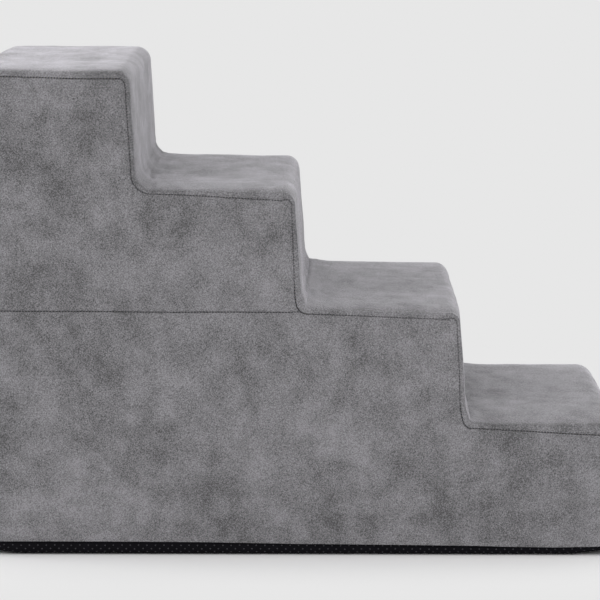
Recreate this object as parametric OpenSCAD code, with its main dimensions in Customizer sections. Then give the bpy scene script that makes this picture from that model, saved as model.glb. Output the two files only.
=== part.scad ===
// Four-step foam pet stairs: a laminated foam core in a sewn suede cover with a grip base and a rear zip.
// +X points to the foot of the stairs, +Y to the climber's right, +Z up.
// The origin lies on the floor under the middle of the stairs.

/* [Staircase] */
// Overall width
stair_w = 381; // [300:1:500]
// Depth of the top tread
top_run = 157; // [130:1:200]
// Depth of each of the two middle treads
tread_run = 154; // [120:1:200]
// Depth of the lowest tread
bottom_run = 145; // [120:1:200]
// Height of the lowest tread above the floor
first_rise = 125.5; // [100:0.5:150]
// Height of each step above the one below it
step_rise = 110.5; // [90:0.5:140]
// How far the foot of each upper riser stands in front of its nosing
riser_lean = 6; // [1:0.5:12]
// How far the foot of the lowest riser stands in front of its nosing
front_lean = 1; // [0.5:0.5:12]

/* [Corners] */
// Radius of each nosing, seen from the side
nose_r = 15; // [12:0.5:25]
// Radius over the top rear edge
back_r = 18; // [15:0.5:50]
// Radius in which the cover bridges the foot of the top riser
top_foot_r = 12; // [2:0.5:20]
// Radius in which the cover bridges the feet of the lower risers
foot_r = 3.5; // [2:0.5:20]
// Radius over the side edges of the treads, risers and back
edge_r = 7.5; // [5:0.25:9]

/* [Cover] */
// Thickness of the suede with its backing
suede_t = 1.6; // [1.4:0.1:2.4]
// Width of each seam groove
seam_w = 1; // [0.8:0.1:1.6]
// How far the seam across each side panel lies above the edge seam of the second tread
side_seam_lift = 2; // [1:0.5:20]
// How far the rear seam lies below the rounding of the top rear edge
rear_seam_drop = 32; // [3:1:60]
// Thickness of the grip fabric under the stairs
grip_t = 1.2; // [0.8:0.1:1.3]
// Height to which the grip fabric turns up around the stairs
border_h = 10; // [10:0.5:14]

/* [Zip] */
// How far the zip's slot ends short of each side
zip_end_gap = 30.5; // [24:0.5:90]
// Height of the zip above the floor
zip_z = 45; // [40:0.5:60]
// Height of the slot
zip_slot_h = 10; // [10:0.5:14]
// Width of each zip tape
tape_w = 14; // [10:0.5:18]
// Length of the slider
slider_l = 12; // [12:0.5:16]
// Length of the pull tab below its pivot
pull_l = 24; // [18:0.5:28]

/* [Hidden] */

suede_colour = "#77767a";
grip_colour = "#1b1a1e";
foam_colour = "#d8d2c0";
thread_colour = "#3c3b3e";
nylon_colour = "#2b2a2d";
metal_colour = "#3a3a3d";

// Facets of one rounded corner and of one rounded edge
arc_steps = 8;
edge_steps = 6;
round_fn = 48;
// The smallest radius that a corner keeps when it is inset
least_r = 1;
// How far a cut runs past what it cuts
over = 1;

// Foam: clearance inside the cover, and the height of each glue line above the foam of its tread
foam_gap = 0.3;
glue_lift = 0.4;
foam_inset = suede_t + foam_gap;

// How much larger the radius under the bottom edge is than the one over the side edges
base_r_extra = 0.5;

// Thread: its clearance in the groove, and how far it lies below the face
thread_gap = 0.2;
thread_sink = 0.5;

// Zip chain: coil radius, half the channel between the coils, tape thickness and its gap to the cover
coil_r = 1.25;
channel = 0.5;
tape_t = 0.6;
tape_gap = 0.2;
tape_past_slot = 12;
coil_gap = 0.05;
// Stops at the ends of the chain
stop_l = 2.5;
stop_h = 7;
stop_inset = 1;
stop_gap = 0.5;
coil_end_inset = stop_inset + stop_l + stop_gap;

// Slider: plates, web between the coils, legs and crown bar
plate_t = 1;
plate_gap = 0.4;
slider_w = 8.6;
slider_tail_w = 8;
slider_corner_r = 1.5;
flange_t = 0.8;
flange_h = 0.9;
web_t = 0.5;
web_l = 3;
leg_r = 1.1;
legs_apart = 5.5;
rear_leg_r = 0.9;
crown_t = 1;

// Pull tab: thickness, play on its leg and in the crown, eye, neck and paddle
pull_t = 1.4;
pull_play = 0.3;
bore_play = 0.08;
eye_r = 3;
neck_w = 3.6;
paddle_w = 7.2;
paddle_l = 11;
paddle_r = 2.4;
grip_hole_r = 1.5;

// Foam relief behind the tapes and behind the slider
relief_gap = 0.4;
tape_relief_margin = 2;

// Derived places
stair_l = top_run + 2 * tread_run + bottom_run;
half_l = stair_l / 2;
half_w = stair_w / 2;
top_h = first_rise + 3 * step_rise;
riser_x = [half_l - bottom_run, half_l - bottom_run - tread_run, top_run - half_l];
tread_z = [first_rise, first_rise + step_rise, first_rise + 2 * step_rise, top_h];
half_lean = riser_lean / 2;
base_r = edge_r + base_r_extra;
seam_inset = edge_r + seam_w;
base_top = border_h + seam_w;
side_seam_z = tread_z[1] - edge_r + side_seam_lift;
rear_seam_z = top_h - back_r - rear_seam_drop;
zip_l = stair_w - 2 * zip_end_gap;
slot_top = zip_z + zip_slot_h / 2;
slot_bottom = zip_z - zip_slot_h / 2;

// Depths of the zip's layers, measured outwards from the back face
tape_front = -suede_t - tape_gap;
tape_back = tape_front - tape_t;
coil_mid = tape_front + coil_gap + coil_r;
coil_front = coil_mid + coil_r;
inner_plate = tape_back - plate_gap - plate_t;
outer_plate = coil_front + plate_gap;
plate_face = outer_plate + plate_t;
pull_floor = plate_face + pull_play;
crown_floor = pull_floor + pull_t + pull_play;
crown_face = crown_floor + crown_t;
slider_y = -zip_l / 2 + coil_end_inset + stop_gap + slider_l / 2;
leg_y = slider_y + legs_apart / 2;

// The outline of the stairs from the side, anticlockwise from the lower rear corner, as [x, z]
outline = [
    [-half_l, 0],
    [half_l, 0],
    [half_l - front_lean, tread_z[0]],
    [riser_x[0] + half_lean, tread_z[0]],
    [riser_x[0] - half_lean, tread_z[1]],
    [riser_x[1] + half_lean, tread_z[1]],
    [riser_x[1] - half_lean, tread_z[2]],
    [riser_x[2] + half_lean, tread_z[2]],
    [riser_x[2] - half_lean, tread_z[3]],
    [-half_l, tread_z[3]]
];
radii = [base_r, base_r, nose_r, foot_r, nose_r, foot_r, nose_r, top_foot_r, nose_r, back_r];
front_index = 1;
rear_index = 9;

// Plane geometry of a rounded outline that is inset by a distance
function unit(v) = v / norm(v);
function left_of(v) = [-v[1], v[0]];
function turned(v, a) = [v[0] * cos(a) - v[1] * sin(a), v[0] * sin(a) + v[1] * cos(a)];
function heading(v, i) = unit(v[(i + 1) % len(v)] - v[i]);
function before(v, i) = heading(v, (i + len(v) - 1) % len(v));
function bend(v, i) =
    let(a = before(v, i), b = heading(v, i)) atan2(a[0] * b[1] - a[1] * b[0], a * b);
function mitre(v, i, inset) =
    let(a = before(v, i), b = heading(v, i)) v[i] + inset * (left_of(a) + left_of(b)) / (1 + a * b);
function corner(v, radii, i, inset) =
    let(
        a = before(v, i),
        t = bend(v, i),
        side = sign(t),
        r = max(radii[i] - side * inset, least_r),
        start = mitre(v, i, inset) - a * r * tan(abs(t) / 2),
        spoke = side * left_of(a) * r
    )
    [for (k = [0:arc_steps]) start + spoke - turned(spoke, t * k / arc_steps)];
function corners(v, radii, first, last, inset) =
    [for (i = [first:last]) each corner(v, radii, i, inset)];
function rounded(v, radii, inset = 0) = corners(v, radii, 0, len(v) - 1, inset);
function at_height(v, i, inset, z) =
    let(d = heading(v, i), p = v[i] + inset * left_of(d)) p + d * (z - p[1]) / d[1];

// The path of the tread strip from the front border over the treads to the rear seam
function strip_path(inset) = concat(
    [at_height(outline, front_index, inset, base_top)],
    corners(outline, radii, front_index + 1, rear_index, inset),
    [at_height(outline, rear_index, inset, rear_seam_z + seam_w / 2)]
);
function back_path(inset, top, bottom) = [
    at_height(outline, rear_index, inset, top),
    at_height(outline, rear_index, inset, bottom)
];

// The section of a wrapped panel as [y, inset], closed: outer face first, inner face back
function wrap_arc(r, from, to) =
    [for (k = [0:edge_steps]) let(a = from + (to - from) * k / edge_steps)
        [half_w - edge_r + r * sin(a), edge_r - r * cos(a)]];
function mirrored(section) = [for (k = [len(section) - 1:-1:0]) [-section[k][0], section[k][1]]];
function full_section() = concat(
    mirrored(wrap_arc(edge_r, 0, 90)), wrap_arc(edge_r, 0, 90),
    wrap_arc(edge_r - suede_t, 90, 0), mirrored(wrap_arc(edge_r - suede_t, 90, 0))
);
function side_section(y) = concat(
    [[y, 0]], wrap_arc(edge_r, 0, 90), wrap_arc(edge_r - suede_t, 90, 0), [[y, suede_t]]
);

// A solid through closed rings of equal length. The caps are whole rings, or strips between the
// two halves of the ring where the ring is the section of a sheet.
module skin(rings, sheet = false) {
    n = len(rings[0]);
    last = len(rings) - 1;
    first_cap = sheet
        ? [for (k = [0:n / 2 - 2]) [k, k + 1, n - 2 - k, n - 1 - k]]
        : [[for (k = [0:n - 1]) k]];
    polyhedron(
        points = [for (ring = rings) each ring],
        faces = concat(
            first_cap,
            [for (j = [0:last - 1], k = [0:n - 1])
                [j * n + k, (j + 1) * n + k, (j + 1) * n + (k + 1) % n, j * n + (k + 1) % n]],
            [for (cap = first_cap) [for (k = [len(cap) - 1:-1:0]) last * n + cap[k]]]
        )
    );
}

// A sheet whose section is carried along paths, one path for each inset of the section
module wrapped(section, paths) {
    skin([for (j = [0:len(paths[0]) - 1])
        [for (m = [0:len(section) - 1]) [paths[m][j][0], section[m][0], paths[m][j][1]]]], true);
}

// A flat plate in the plane of the sides, between two heights
module side_plate(inset, y, t) {
    translate([0, y + t, 0])
        rotate([90, 0, 0])
            linear_extrude(t)
                polygon(rounded(outline, radii, inset));
}

module between_heights(bottom, top) {
    intersection() {
        children();
        translate([-stair_l, -stair_w, bottom])
            cube([2 * stair_l, 2 * stair_w, top - bottom]);
    }
}

module mirrored_if(flip) {
    if (flip)
        mirror([0, 1, 0]) children();
    else
        children();
}

// The foam core: four slabs, each glued onto the one below it
function glue_line(k) = tread_z[k] - foam_inset + glue_lift;
function slab_foot(k, inset) = k == 0
    ? [for (p = corners(outline, radii, 0, front_index, inset)) p + [0, grip_t - suede_t]]
    : [for (i = [rear_index, 2 * k + 1]) at_height(outline, i, inset, glue_line(k - 1))];
function slab_head(k, inset) = k == 3
    ? corner(outline, radii, rear_index, inset)
    : [
        mitre(outline, 2 * k + 3, inset),
        at_height(outline, 2 * k + 3, inset, glue_line(k)),
        at_height(outline, rear_index, inset, glue_line(k))
    ];
function slab_outline(k, inset) =
    concat(slab_foot(k, inset), corner(outline, radii, 2 * k + 2, inset), slab_head(k, inset));

module foam_slab(k) {
    r = edge_r - foam_inset;
    far = [for (j = [edge_steps:-1:0]) let(a = 90 * j / edge_steps)
        [half_w - edge_r + r * sin(a), edge_r - r * cos(a)]];
    stations = concat(far, [for (j = [edge_steps:-1:0]) [-far[j][0], far[j][1]]]);
    color(foam_colour)
        skin([for (s = stations)
            [for (p = slab_outline(k, s[1])) [p[0], s[0], p[1]]]]);
}

// Hollows that the tapes and the slider press into the back of the lowest slab
module zip_relief() {
    tape_depth = -tape_back + relief_gap;
    tape_half = tape_w + tape_relief_margin;
    tape_l = zip_l + 2 * (tape_past_slot + tape_relief_margin);
    slider_depth = -inner_plate + relief_gap;
    translate([-half_l, -tape_l / 2, zip_z - tape_half])
        cube([tape_depth, tape_l, 2 * tape_half]);
    translate([-half_l, -zip_l / 2, zip_z - slider_w / 2 - over])
        cube([slider_depth, zip_l, slider_w + 2 * over]);
}

module foam_slab_1() {
    color(foam_colour)
        difference() {
            foam_slab(0);
            zip_relief();
        }
}

// Cover panels
module tread_strip() {
    section = full_section();
    color(suede_colour)
        wrapped(section, [for (s = section) strip_path(s[1])]);
}

module rear_wrap(section, top, bottom) {
    color(suede_colour)
        wrapped(section, [for (s = section) back_path(s[1], top, bottom)]);
}

module back_panel() {
    rear_wrap(full_section(), rear_seam_z - seam_w / 2, slot_top);
}

module back_lower_strip() {
    rear_wrap(full_section(), slot_bottom, base_top);
}

// Suede tabs that close the slot beside the ends of the zip
module zip_end_tabs() {
    for (flip = [false, true])
        mirrored_if(flip)
            rear_wrap(side_section(zip_l / 2), slot_top - thread_gap, slot_bottom + thread_gap);
}

module side_panel(flip, bottom, top) {
    color(suede_colour)
        mirrored_if(flip)
            between_heights(bottom, top)
                side_plate(seam_inset, half_w - suede_t, suede_t);
}

module side_panel_upper(flip) {
    side_panel(flip, side_seam_z + seam_w / 2, top_h);
}

module side_panel_lower(flip) {
    side_panel(flip, base_top, side_seam_z - seam_w / 2);
}

// The grip fabric: a shallow tray under the foam, its border turned up to the base seam
module base_panel() {
    inner_r = base_r - grip_t;
    rim = [[half_l, half_w], [-half_l, half_w], [-half_l, -half_w], [half_l, -half_w]];
    outer = [for (k = [edge_steps:-1:0]) let(a = 90 * k / edge_steps)
        [base_r - base_r * cos(a), base_r - base_r * sin(a)]];
    inner = [for (k = [0:edge_steps]) let(a = 90 * k / edge_steps)
        [base_r - inner_r * cos(a), base_r - inner_r * sin(a)]];
    stations = concat(outer, [[0, border_h], [grip_t, border_h]], inner);
    color(grip_colour)
        skin([for (s = stations)
            [for (p = rounded(rim, [for (c = rim) edge_r], s[0])) [p[0], p[1], s[1]]]]);
}

// Seam threads: rings and bars of thread in the grooves between the panels
module edge_seam(flip) {
    depth = suede_t - thread_sink;
    color(thread_colour)
        mirrored_if(flip)
            between_heights(base_top, top_h)
                difference() {
                    side_plate(edge_r + thread_gap, half_w - suede_t, depth);
                    side_plate(seam_inset - thread_gap, half_w - suede_t - over, depth + 2 * over);
                }
}

module side_seam(flip) {
    height = seam_w / 2 - thread_gap;
    color(thread_colour)
        mirrored_if(flip)
            between_heights(side_seam_z - height, side_seam_z + height)
                side_plate(seam_inset, half_w - suede_t, suede_t - thread_sink);
}

module rear_seam() {
    length = stair_w - 2 * edge_r;
    height = seam_w - 2 * thread_gap;
    color(thread_colour)
        translate([-half_l + thread_sink, -length / 2, rear_seam_z - height / 2])
            cube([suede_t - thread_sink, length, height]);
}

module base_seam() {
    front = at_height(outline, front_index, 0, border_h + seam_w / 2)[0];
    rim = [[front, half_w], [-half_l, half_w], [-half_l, -half_w], [front, -half_w]];
    rim_radii = [for (c = rim) edge_r];
    height = seam_w - 2 * thread_gap;
    color(thread_colour)
        translate([0, 0, border_h + thread_gap])
            difference() {
                linear_extrude(height)
                    polygon(rounded(rim, rim_radii, thread_sink));
                translate([0, 0, -over])
                    linear_extrude(height + 2 * over)
                        polygon(rounded(rim, rim_radii, suede_t));
            }
}

// Places a part of the zip: its x runs outwards from the back face, its z from the zip's line
module on_back() {
    translate([-half_l, 0, zip_z])
        mirror([1, 0, 0])
            children();
}

module zip_tape(side) {
    length = zip_l + 2 * tape_past_slot;
    edge = channel + thread_gap / 2;
    color(nylon_colour)
        on_back()
            translate([tape_back, -length / 2, side > 0 ? edge : -tape_w])
                cube([tape_t, length, tape_w - edge]);
}

module zip_coil(side) {
    length = zip_l - 2 * coil_end_inset;
    color(nylon_colour)
        on_back()
            translate([coil_mid, length / 2, side * (channel + coil_r)])
                rotate([90, 0, 0])
                    cylinder(r = coil_r, h = length, $fn = round_fn);
}

module zip_stops() {
    color(nylon_colour)
        on_back()
            for (flip = [false, true])
                mirrored_if(flip)
                    translate([tape_front + coil_gap, zip_l / 2 - stop_inset - stop_l, -stop_h / 2])
                        cube([coil_front - tape_front, stop_l, stop_h]);
}

// One plate of the slider, widest at its nose, from depth x outwards
module slider_plate(x) {
    nose = -slider_l / 2;
    shield = [
        [nose, -slider_w / 2], [-nose, -slider_tail_w / 2], [-nose, slider_tail_w / 2], [nose, slider_w / 2]
    ];
    translate([x, slider_y, 0])
        rotate([90, 0, 90])
            linear_extrude(plate_t)
                polygon(rounded(shield, [for (c = shield) slider_corner_r]));
}

// A cylinder that stands outwards from the back face
module post(r, y, z, from, to) {
    translate([from, y, z])
        rotate([0, 90, 0])
            cylinder(r = r, h = to - from, $fn = round_fn);
}

module zip_slider() {
    rear_leg_y = leg_y - legs_apart;
    flange_l = slider_l - 2 * slider_corner_r;
    color(metal_colour)
        on_back() {
            slider_plate(inner_plate);
            slider_plate(outer_plate);
            translate([inner_plate, slider_y - slider_l / 2 + over, -web_t / 2])
                cube([plate_face - inner_plate, web_l, web_t]);
            for (side = [-1, 1])
                translate([outer_plate - flange_h, slider_y - flange_l / 2,
                           side * (slider_tail_w - flange_t) / 2 - flange_t / 2])
                    cube([flange_h + plate_t / 2, flange_l, flange_t]);
            post(leg_r, leg_y, 0, outer_plate, crown_face);
            post(rear_leg_r, rear_leg_y, 0, outer_plate, crown_face);
            translate([crown_floor, rear_leg_y, -rear_leg_r])
                cube([crown_t, legs_apart, 2 * rear_leg_r]);
        }
}

// The pull tab hangs from the slider's leg by its eye
module zip_pull() {
    paddle_top = -pull_l + paddle_l;
    paddle = [
        [-paddle_w / 2, -pull_l], [paddle_w / 2, -pull_l],
        [paddle_w / 2, paddle_top], [-paddle_w / 2, paddle_top]
    ];
    bore_floor = pull_floor - over;
    bore_top = pull_floor + pull_t + over;
    color(metal_colour)
        on_back()
            difference() {
                union() {
                    post(eye_r, leg_y, 0, pull_floor, pull_floor + pull_t);
                    translate([pull_floor, leg_y - neck_w / 2, paddle_top - over])
                        cube([pull_t, neck_w, over - paddle_top]);
                    translate([pull_floor, leg_y, 0])
                        rotate([90, 0, 90])
                            linear_extrude(pull_t)
                                polygon(rounded(paddle, [for (c = paddle) paddle_r]));
                }
                post(leg_r + bore_play, leg_y, 0, bore_floor, bore_top);
                post(grip_hole_r, leg_y, paddle_r * 2 - pull_l, bore_floor, bore_top);
            }
}

foam_slab_1();
foam_slab(1);  // foam_slab_2
foam_slab(2);  // foam_slab_3
foam_slab(3);  // foam_slab_4
tread_strip();
back_panel();
back_lower_strip();
zip_end_tabs();
side_panel_upper(true);  // left_side_panel_upper
side_panel_lower(true);  // left_side_panel_lower
side_panel_upper(false);  // right_side_panel_upper
side_panel_lower(false);  // right_side_panel_lower
base_panel();
edge_seam(true);  // left_edge_seam
edge_seam(false);  // right_edge_seam
side_seam(true);  // left_side_seam
side_seam(false);  // right_side_seam
rear_seam();
base_seam();
zip_tape(1);  // zip_tape_upper
zip_tape(-1);  // zip_tape_lower
zip_coil(1);  // zip_coil_upper
zip_coil(-1);  // zip_coil_lower
zip_stops();
zip_slider();
zip_pull();
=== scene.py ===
"""Four-step foam stairs for pets in a sewn suede cover, with a dotted grip base and a zip at the back.

+X points to the foot of the stairs, +Y to the climber's right and +Z up, in metres.
The stairs are drawn from the side as one outline. Cover panels are carried along that outline or
stretched over its sides, and the edge seams lie a few millimetres in from it.
"""

import bpy
import numpy as np
from bpy.props import FloatProperty, FloatVectorProperty, PointerProperty
from bpy.types import Operator, Panel, PropertyGroup
from mathutils import Matrix, Vector


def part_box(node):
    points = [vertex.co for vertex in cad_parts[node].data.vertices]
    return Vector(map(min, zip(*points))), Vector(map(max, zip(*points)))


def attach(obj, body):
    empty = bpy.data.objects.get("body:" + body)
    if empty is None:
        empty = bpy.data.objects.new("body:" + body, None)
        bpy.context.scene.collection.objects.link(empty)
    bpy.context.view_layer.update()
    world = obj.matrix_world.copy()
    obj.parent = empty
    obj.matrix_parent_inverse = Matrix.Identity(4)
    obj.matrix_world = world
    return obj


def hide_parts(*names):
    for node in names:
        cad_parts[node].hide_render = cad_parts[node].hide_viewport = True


bl_info = {
    "name": "Pet stairs",
    "version": (1, 0, 0),
    "blender": (4, 5, 0),
    "location": "3D View > Sidebar > Pet Stairs",
    "description": "Builds foam pet stairs in a sewn suede cover",
    "category": "Add Mesh",
}

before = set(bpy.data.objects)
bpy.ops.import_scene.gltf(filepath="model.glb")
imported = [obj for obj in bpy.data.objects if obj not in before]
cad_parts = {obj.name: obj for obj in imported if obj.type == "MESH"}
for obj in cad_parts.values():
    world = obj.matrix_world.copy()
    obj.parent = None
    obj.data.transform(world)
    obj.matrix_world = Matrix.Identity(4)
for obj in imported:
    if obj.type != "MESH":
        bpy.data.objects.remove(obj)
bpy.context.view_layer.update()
STRIP_LOW, STRIP_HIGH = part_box("tread_strip")
SLOT_LOW, SLOT_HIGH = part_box("zip_end_tabs")
TAPE_PAST_ZIP = 0.012
ZIP_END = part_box("zip_tape_upper")[1].y - TAPE_PAST_ZIP

DEFAULT_WIDTH = STRIP_HIGH.y - STRIP_LOW.y
DEFAULT_ZIP_HEIGHT = (SLOT_HIGH.z + SLOT_LOW.z) / 2

# Names of the foam pieces from the floor up, and of the sides with the sign of y there
FOAM = [f"foam_core_{k}" for k in (1, 2, 3, 4)]
SIDES = (("left", -1), ("right", 1))

# Thickness of the suede, what is turned in at each side of a panel, half the gap between two panels
# at a level seam, how far a panel stays short of an edge seam, and how far the seams' painted shade reaches
CLOTH = 0.0012
TURNED_IN = 0.008
SEAM_GAP = 0.0001
GROOVE = 0.00006
SEAM_SHADE = 0.0016

# How much the nap's streaks are stretched across the cloth, and the spacing of a zip tape's threads
NAP_SPREAD = 0.3
RIB_PITCH = 0.0011
WEFT_PITCH = 0.0006

# Pairs of a point and a piece of line that are measured in one go
PAIRS_AT_ONCE = 4000000


# Values

def length(name, description, default):
    """A length in metres."""
    return FloatProperty(name=name, description=description, default=default, min=0.0, max=2.0,
                         unit="LENGTH", precision=4)


def colour(name, description, default):
    """A linear colour."""
    return FloatVectorProperty(name=name, description=description, default=default, size=3,
                               min=0.0, max=1.0, subtype="COLOR")


def share(name, description, default, high=1.0):
    """A plain number from 0."""
    return FloatProperty(name=name, description=description, default=default, min=0.0, max=high,
                         subtype="FACTOR" if high == 1.0 else "NONE")


def per_step(name, description, default):
    """A length for each of the four steps, the lowest first, in metres."""
    return FloatVectorProperty(name=name, description=description, default=default, size=4,
                               unit="LENGTH", precision=4)


class StairSizes(PropertyGroup):
    """The stairs from the side."""
    width: length("Width", "Overall width", DEFAULT_WIDTH)
    top_run: length("Top tread", "Depth of the top tread", 0.157)
    tread_run: length("Middle treads", "Depth of each of the two middle treads", 0.154)
    bottom_run: length("Lowest tread", "Depth of the lowest tread", 0.145)
    first_rise: length("First rise", "Height of the lowest tread above the floor", 0.1255)
    step_rise: length("Rise", "Height of each step above the one below it", 0.1105)
    riser_lean: length("Riser lean", "How far an upper riser's foot stands in front of its nosing", 0.006)
    front_lean: length("Front lean", "How far the lowest riser's foot stands in front of its nosing", 0.001)
    nose_r: length("Nosing radius", "Radius of each nosing, seen from the side", 0.015)
    back_r: length("Rear radius", "Radius over the top rear edge", 0.018)
    top_foot_r: length("Top foot radius", "Radius in which the cloth bridges the foot of the top riser",
                       0.012)
    foot_r: length("Foot radius", "Radius in which the cloth bridges the feet of the lower risers",
                   0.0035)


class CoverShape(PropertyGroup):
    """How the cover is sewn and how it lies."""
    seam_in: length("Seam inset", "How far the edge seams lie in from the stairs' outline", 0.008)
    riser_seam: per_step("Riser seams", "Seam inset at the top of each riser",
                         (0.0063, 0.0059, 0.0057, 0.0063))
    foot_seam: per_step("Foot seams", "Seam inset just above the foot of each riser",
                        (0.0072, 0.0072, 0.0080, 0.0056))
    nose_seam: per_step("Nosing seams", "Seam inset behind each nosing", (0.0112, 0.0122, 0.0120, 0.0098))
    tread_seam: per_step("Tread seams", "Seam inset at the rear of each tread",
                         (0.0046, 0.0072, 0.0056, 0.0076))
    tread_sink: per_step("Tread sink", "How far each tread sinks to the side that is sewn tighter",
                         (0.0030, 0.0048, 0.0040, 0.0052))
    riser_sink: length("Riser sink", "How far the risers sink to that side", 0.0010)
    tread_lie: per_step("Tread hollow", "How far each tread lies below its straight line",
                        (-0.0018, -0.0004, -0.0010, -0.0024))
    nose_lie: per_step("Nosing hollow", "How far each nosing lies inside its round line",
                       (-0.0026, 0.0014, 0.0, -0.0020))
    riser_lie: per_step("Riser hollow", "How far each riser lies behind its straight line",
                        (-0.0030, 0.0015, 0.0012, 0.0002))
    foot_lie: per_step("Foot fill", "How far the cloth stands proud at the foot above each tread",
                       (0.0024, 0.0030, 0.0014, 0.0))
    side_seam_z: length("Side seam", "Height of the level seam across each side", 0.2305)
    rear_seam_z: length("Rear seam", "Height of the seam across the back", 0.407)
    hem_z: length("Hem", "Height of the suede's lower hem at the rear", 0.0130)
    hem_drop: length("Hem drop", "How much lower the hem hangs towards the foot of the stairs", 0.0051)
    stitch: length("Stitch", "Length from one stitch to the next", 0.0028)
    dot_pitch: length("Dot pitch", "Distance between the grip dots of one row", 0.0079)
    dot_row: length("Dot rows", "Distance between the rows of grip dots", 0.0032)
    dot_r: length("Dot radius", "Radius of one grip dot", 0.0008)
    zip_z: length("Zip height", "Height of the zip above the floor", DEFAULT_ZIP_HEIGHT)
    crown: length("Crown", "How far the side panels swell out between their seams", 0.0014)
    dish: length("Tread dish", "How deep the hollow is that runs along each tread", 0.0018)
    slack: share("Slack", "How deep the creases at the risers' feet are", 1.0, 3.0)


class CoverColours(PropertyGroup):
    """Colours of the cover, the foam and the zip."""
    suede: colour("Suede", "Micro-suede of the cover", (0.156, 0.152, 0.161))
    nap: colour("Nap", "The suede's nap where it catches the light", (0.96, 0.935, 1.0))
    grip: colour("Grip fabric", "Fabric under the stairs", (0.0045, 0.0042, 0.0058))
    dots: colour("Grip dots", "Rubber dots on the grip fabric", (0.038, 0.037, 0.042))
    thread: colour("Thread", "Sewing thread", (0.060, 0.059, 0.063))
    foam: colour("Foam", "Foam of the core", (0.70, 0.65, 0.53))
    zip_tape: colour("Zip tape", "Woven tape of the zip", (0.030, 0.030, 0.032))
    zip_coil: colour("Zip coil", "Nylon of the zip", (0.030, 0.030, 0.032))
    zip_metal: colour("Zip metal", "Lacquered metal of slider and pull", (0.042, 0.042, 0.045))


class StudioLight(PropertyGroup):
    """Floor, background and lamps."""
    floor: colour("Floor", "Colour of the floor", (0.9, 0.9, 0.9))
    background: colour("Background", "Colour behind the stairs", (0.799, 0.799, 0.799))
    fade_from: length("Shadow from", "Distance from the stairs at which their shadow begins to fade", 0.0)
    fade_to: length("Shadow to", "Distance from the stairs at which their shadow has faded", 0.21)
    sky: share("Sky", "Strength of the even light from all round", 0.8, 4.0)
    key: share("Key lamp", "Strength of the broad lamp before the side", 0.68, 20.0)
    rim: share("Rim lamp", "Strength of the low lamp behind the top of the stairs", 1.2, 20.0)
    front: share("Front lamp", "Power of the lamp before the foot of the stairs, in watts", 13.0, 500.0)


# Shapes

def graded(low, high, marks, fine, coarse, reach):
    """Places from low to high, close together at each mark and wider apart away from it.

    The step is coarse - (coarse - fine) * exp(-distance / reach). One over the step is summed up
    along the way, and the sum is cut into equal shares.
    """
    x = np.linspace(low, high, 6000)
    near = np.abs(x[:, None] - np.atleast_1d(marks)[None]).min(1)
    density = 1 / (coarse - (coarse - fine) * np.exp(-near / reach))
    total = np.concatenate([[0], np.cumsum((density[1:] + density[:-1]) / 2 * np.diff(x))])
    return np.interp(np.linspace(0, total[-1], int(np.ceil(total[-1])) + 1), total, x)


def seam_rows(low, high, seam):
    """Places from low to high that are close together at a seam."""
    return graded(low, high, [seam], 0.0004, 0.0024, 0.006)


def soft_step(x, low, high):
    """0 below low, 1 above high, and 3t^2 - 2t^3 between them."""
    t = np.clip((x - low) / (high - low), 0, 1)
    return t * t * (3 - 2 * t)


def soft_noise(u, v, cell, seed):
    """Random heights from -1 to 1 on a square lattice, blended between its points by
    6t^5 - 15t^4 + 10t^3 in both directions."""
    heights = np.random.default_rng(seed).uniform(-1, 1, (64, 64))
    a, b = np.broadcast_arrays(np.asarray(u) / cell, np.asarray(v) / cell)
    i, j = np.floor(a).astype(int), np.floor(b).astype(int)
    s, t = a - i, b - j
    s, t = (w * w * w * (w * (6 * w - 15) + 10) for w in (s, t))

    def at(di, dj):
        return heights[(i + di) % 64, (j + dj) % 64]

    return (at(0, 0) * (1 - s) + at(1, 0) * s) * (1 - t) + (at(0, 1) * (1 - s) + at(1, 1) * s) * t


def uneven(u, v, *layers):
    """A sum of soft noises, each given as (height, cell, seed)."""
    return sum(height * soft_noise(u, v, cell, seed) for height, cell, seed in layers)


def fading(distance, reach):
    """1 at no distance, and e to the minus distance / reach away from it."""
    return np.exp(-distance / reach)


def bell(x, reach):
    """1 at 0, and e to the minus (x / reach) squared to both sides."""
    return np.exp(-(x / reach) ** 2)


def circle(count):
    """Angles evenly round a full turn."""
    return np.linspace(0, 2 * np.pi, count, endpoint=False)


def unit(vectors):
    """Vectors at length 1."""
    return vectors / np.linalg.norm(vectors, axis=-1, keepdims=True)


def square_to(vectors, along):
    """What of the vectors is square to the unit vectors along, at length 1."""
    return unit(vectors - (vectors * along).sum(-1)[:, None] * along)


def lengths_along(line):
    """Length along a line of points at each of them."""
    return np.concatenate([[0], np.cumsum(np.linalg.norm(np.diff(line, axis=0), axis=1))])


def on_line(line, ways, where):
    """Points at lengths along a line whose points lie at the given ways."""
    return np.stack([np.interp(where, ways, line[:, k]) for k in range(line.shape[1])], -1)


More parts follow.
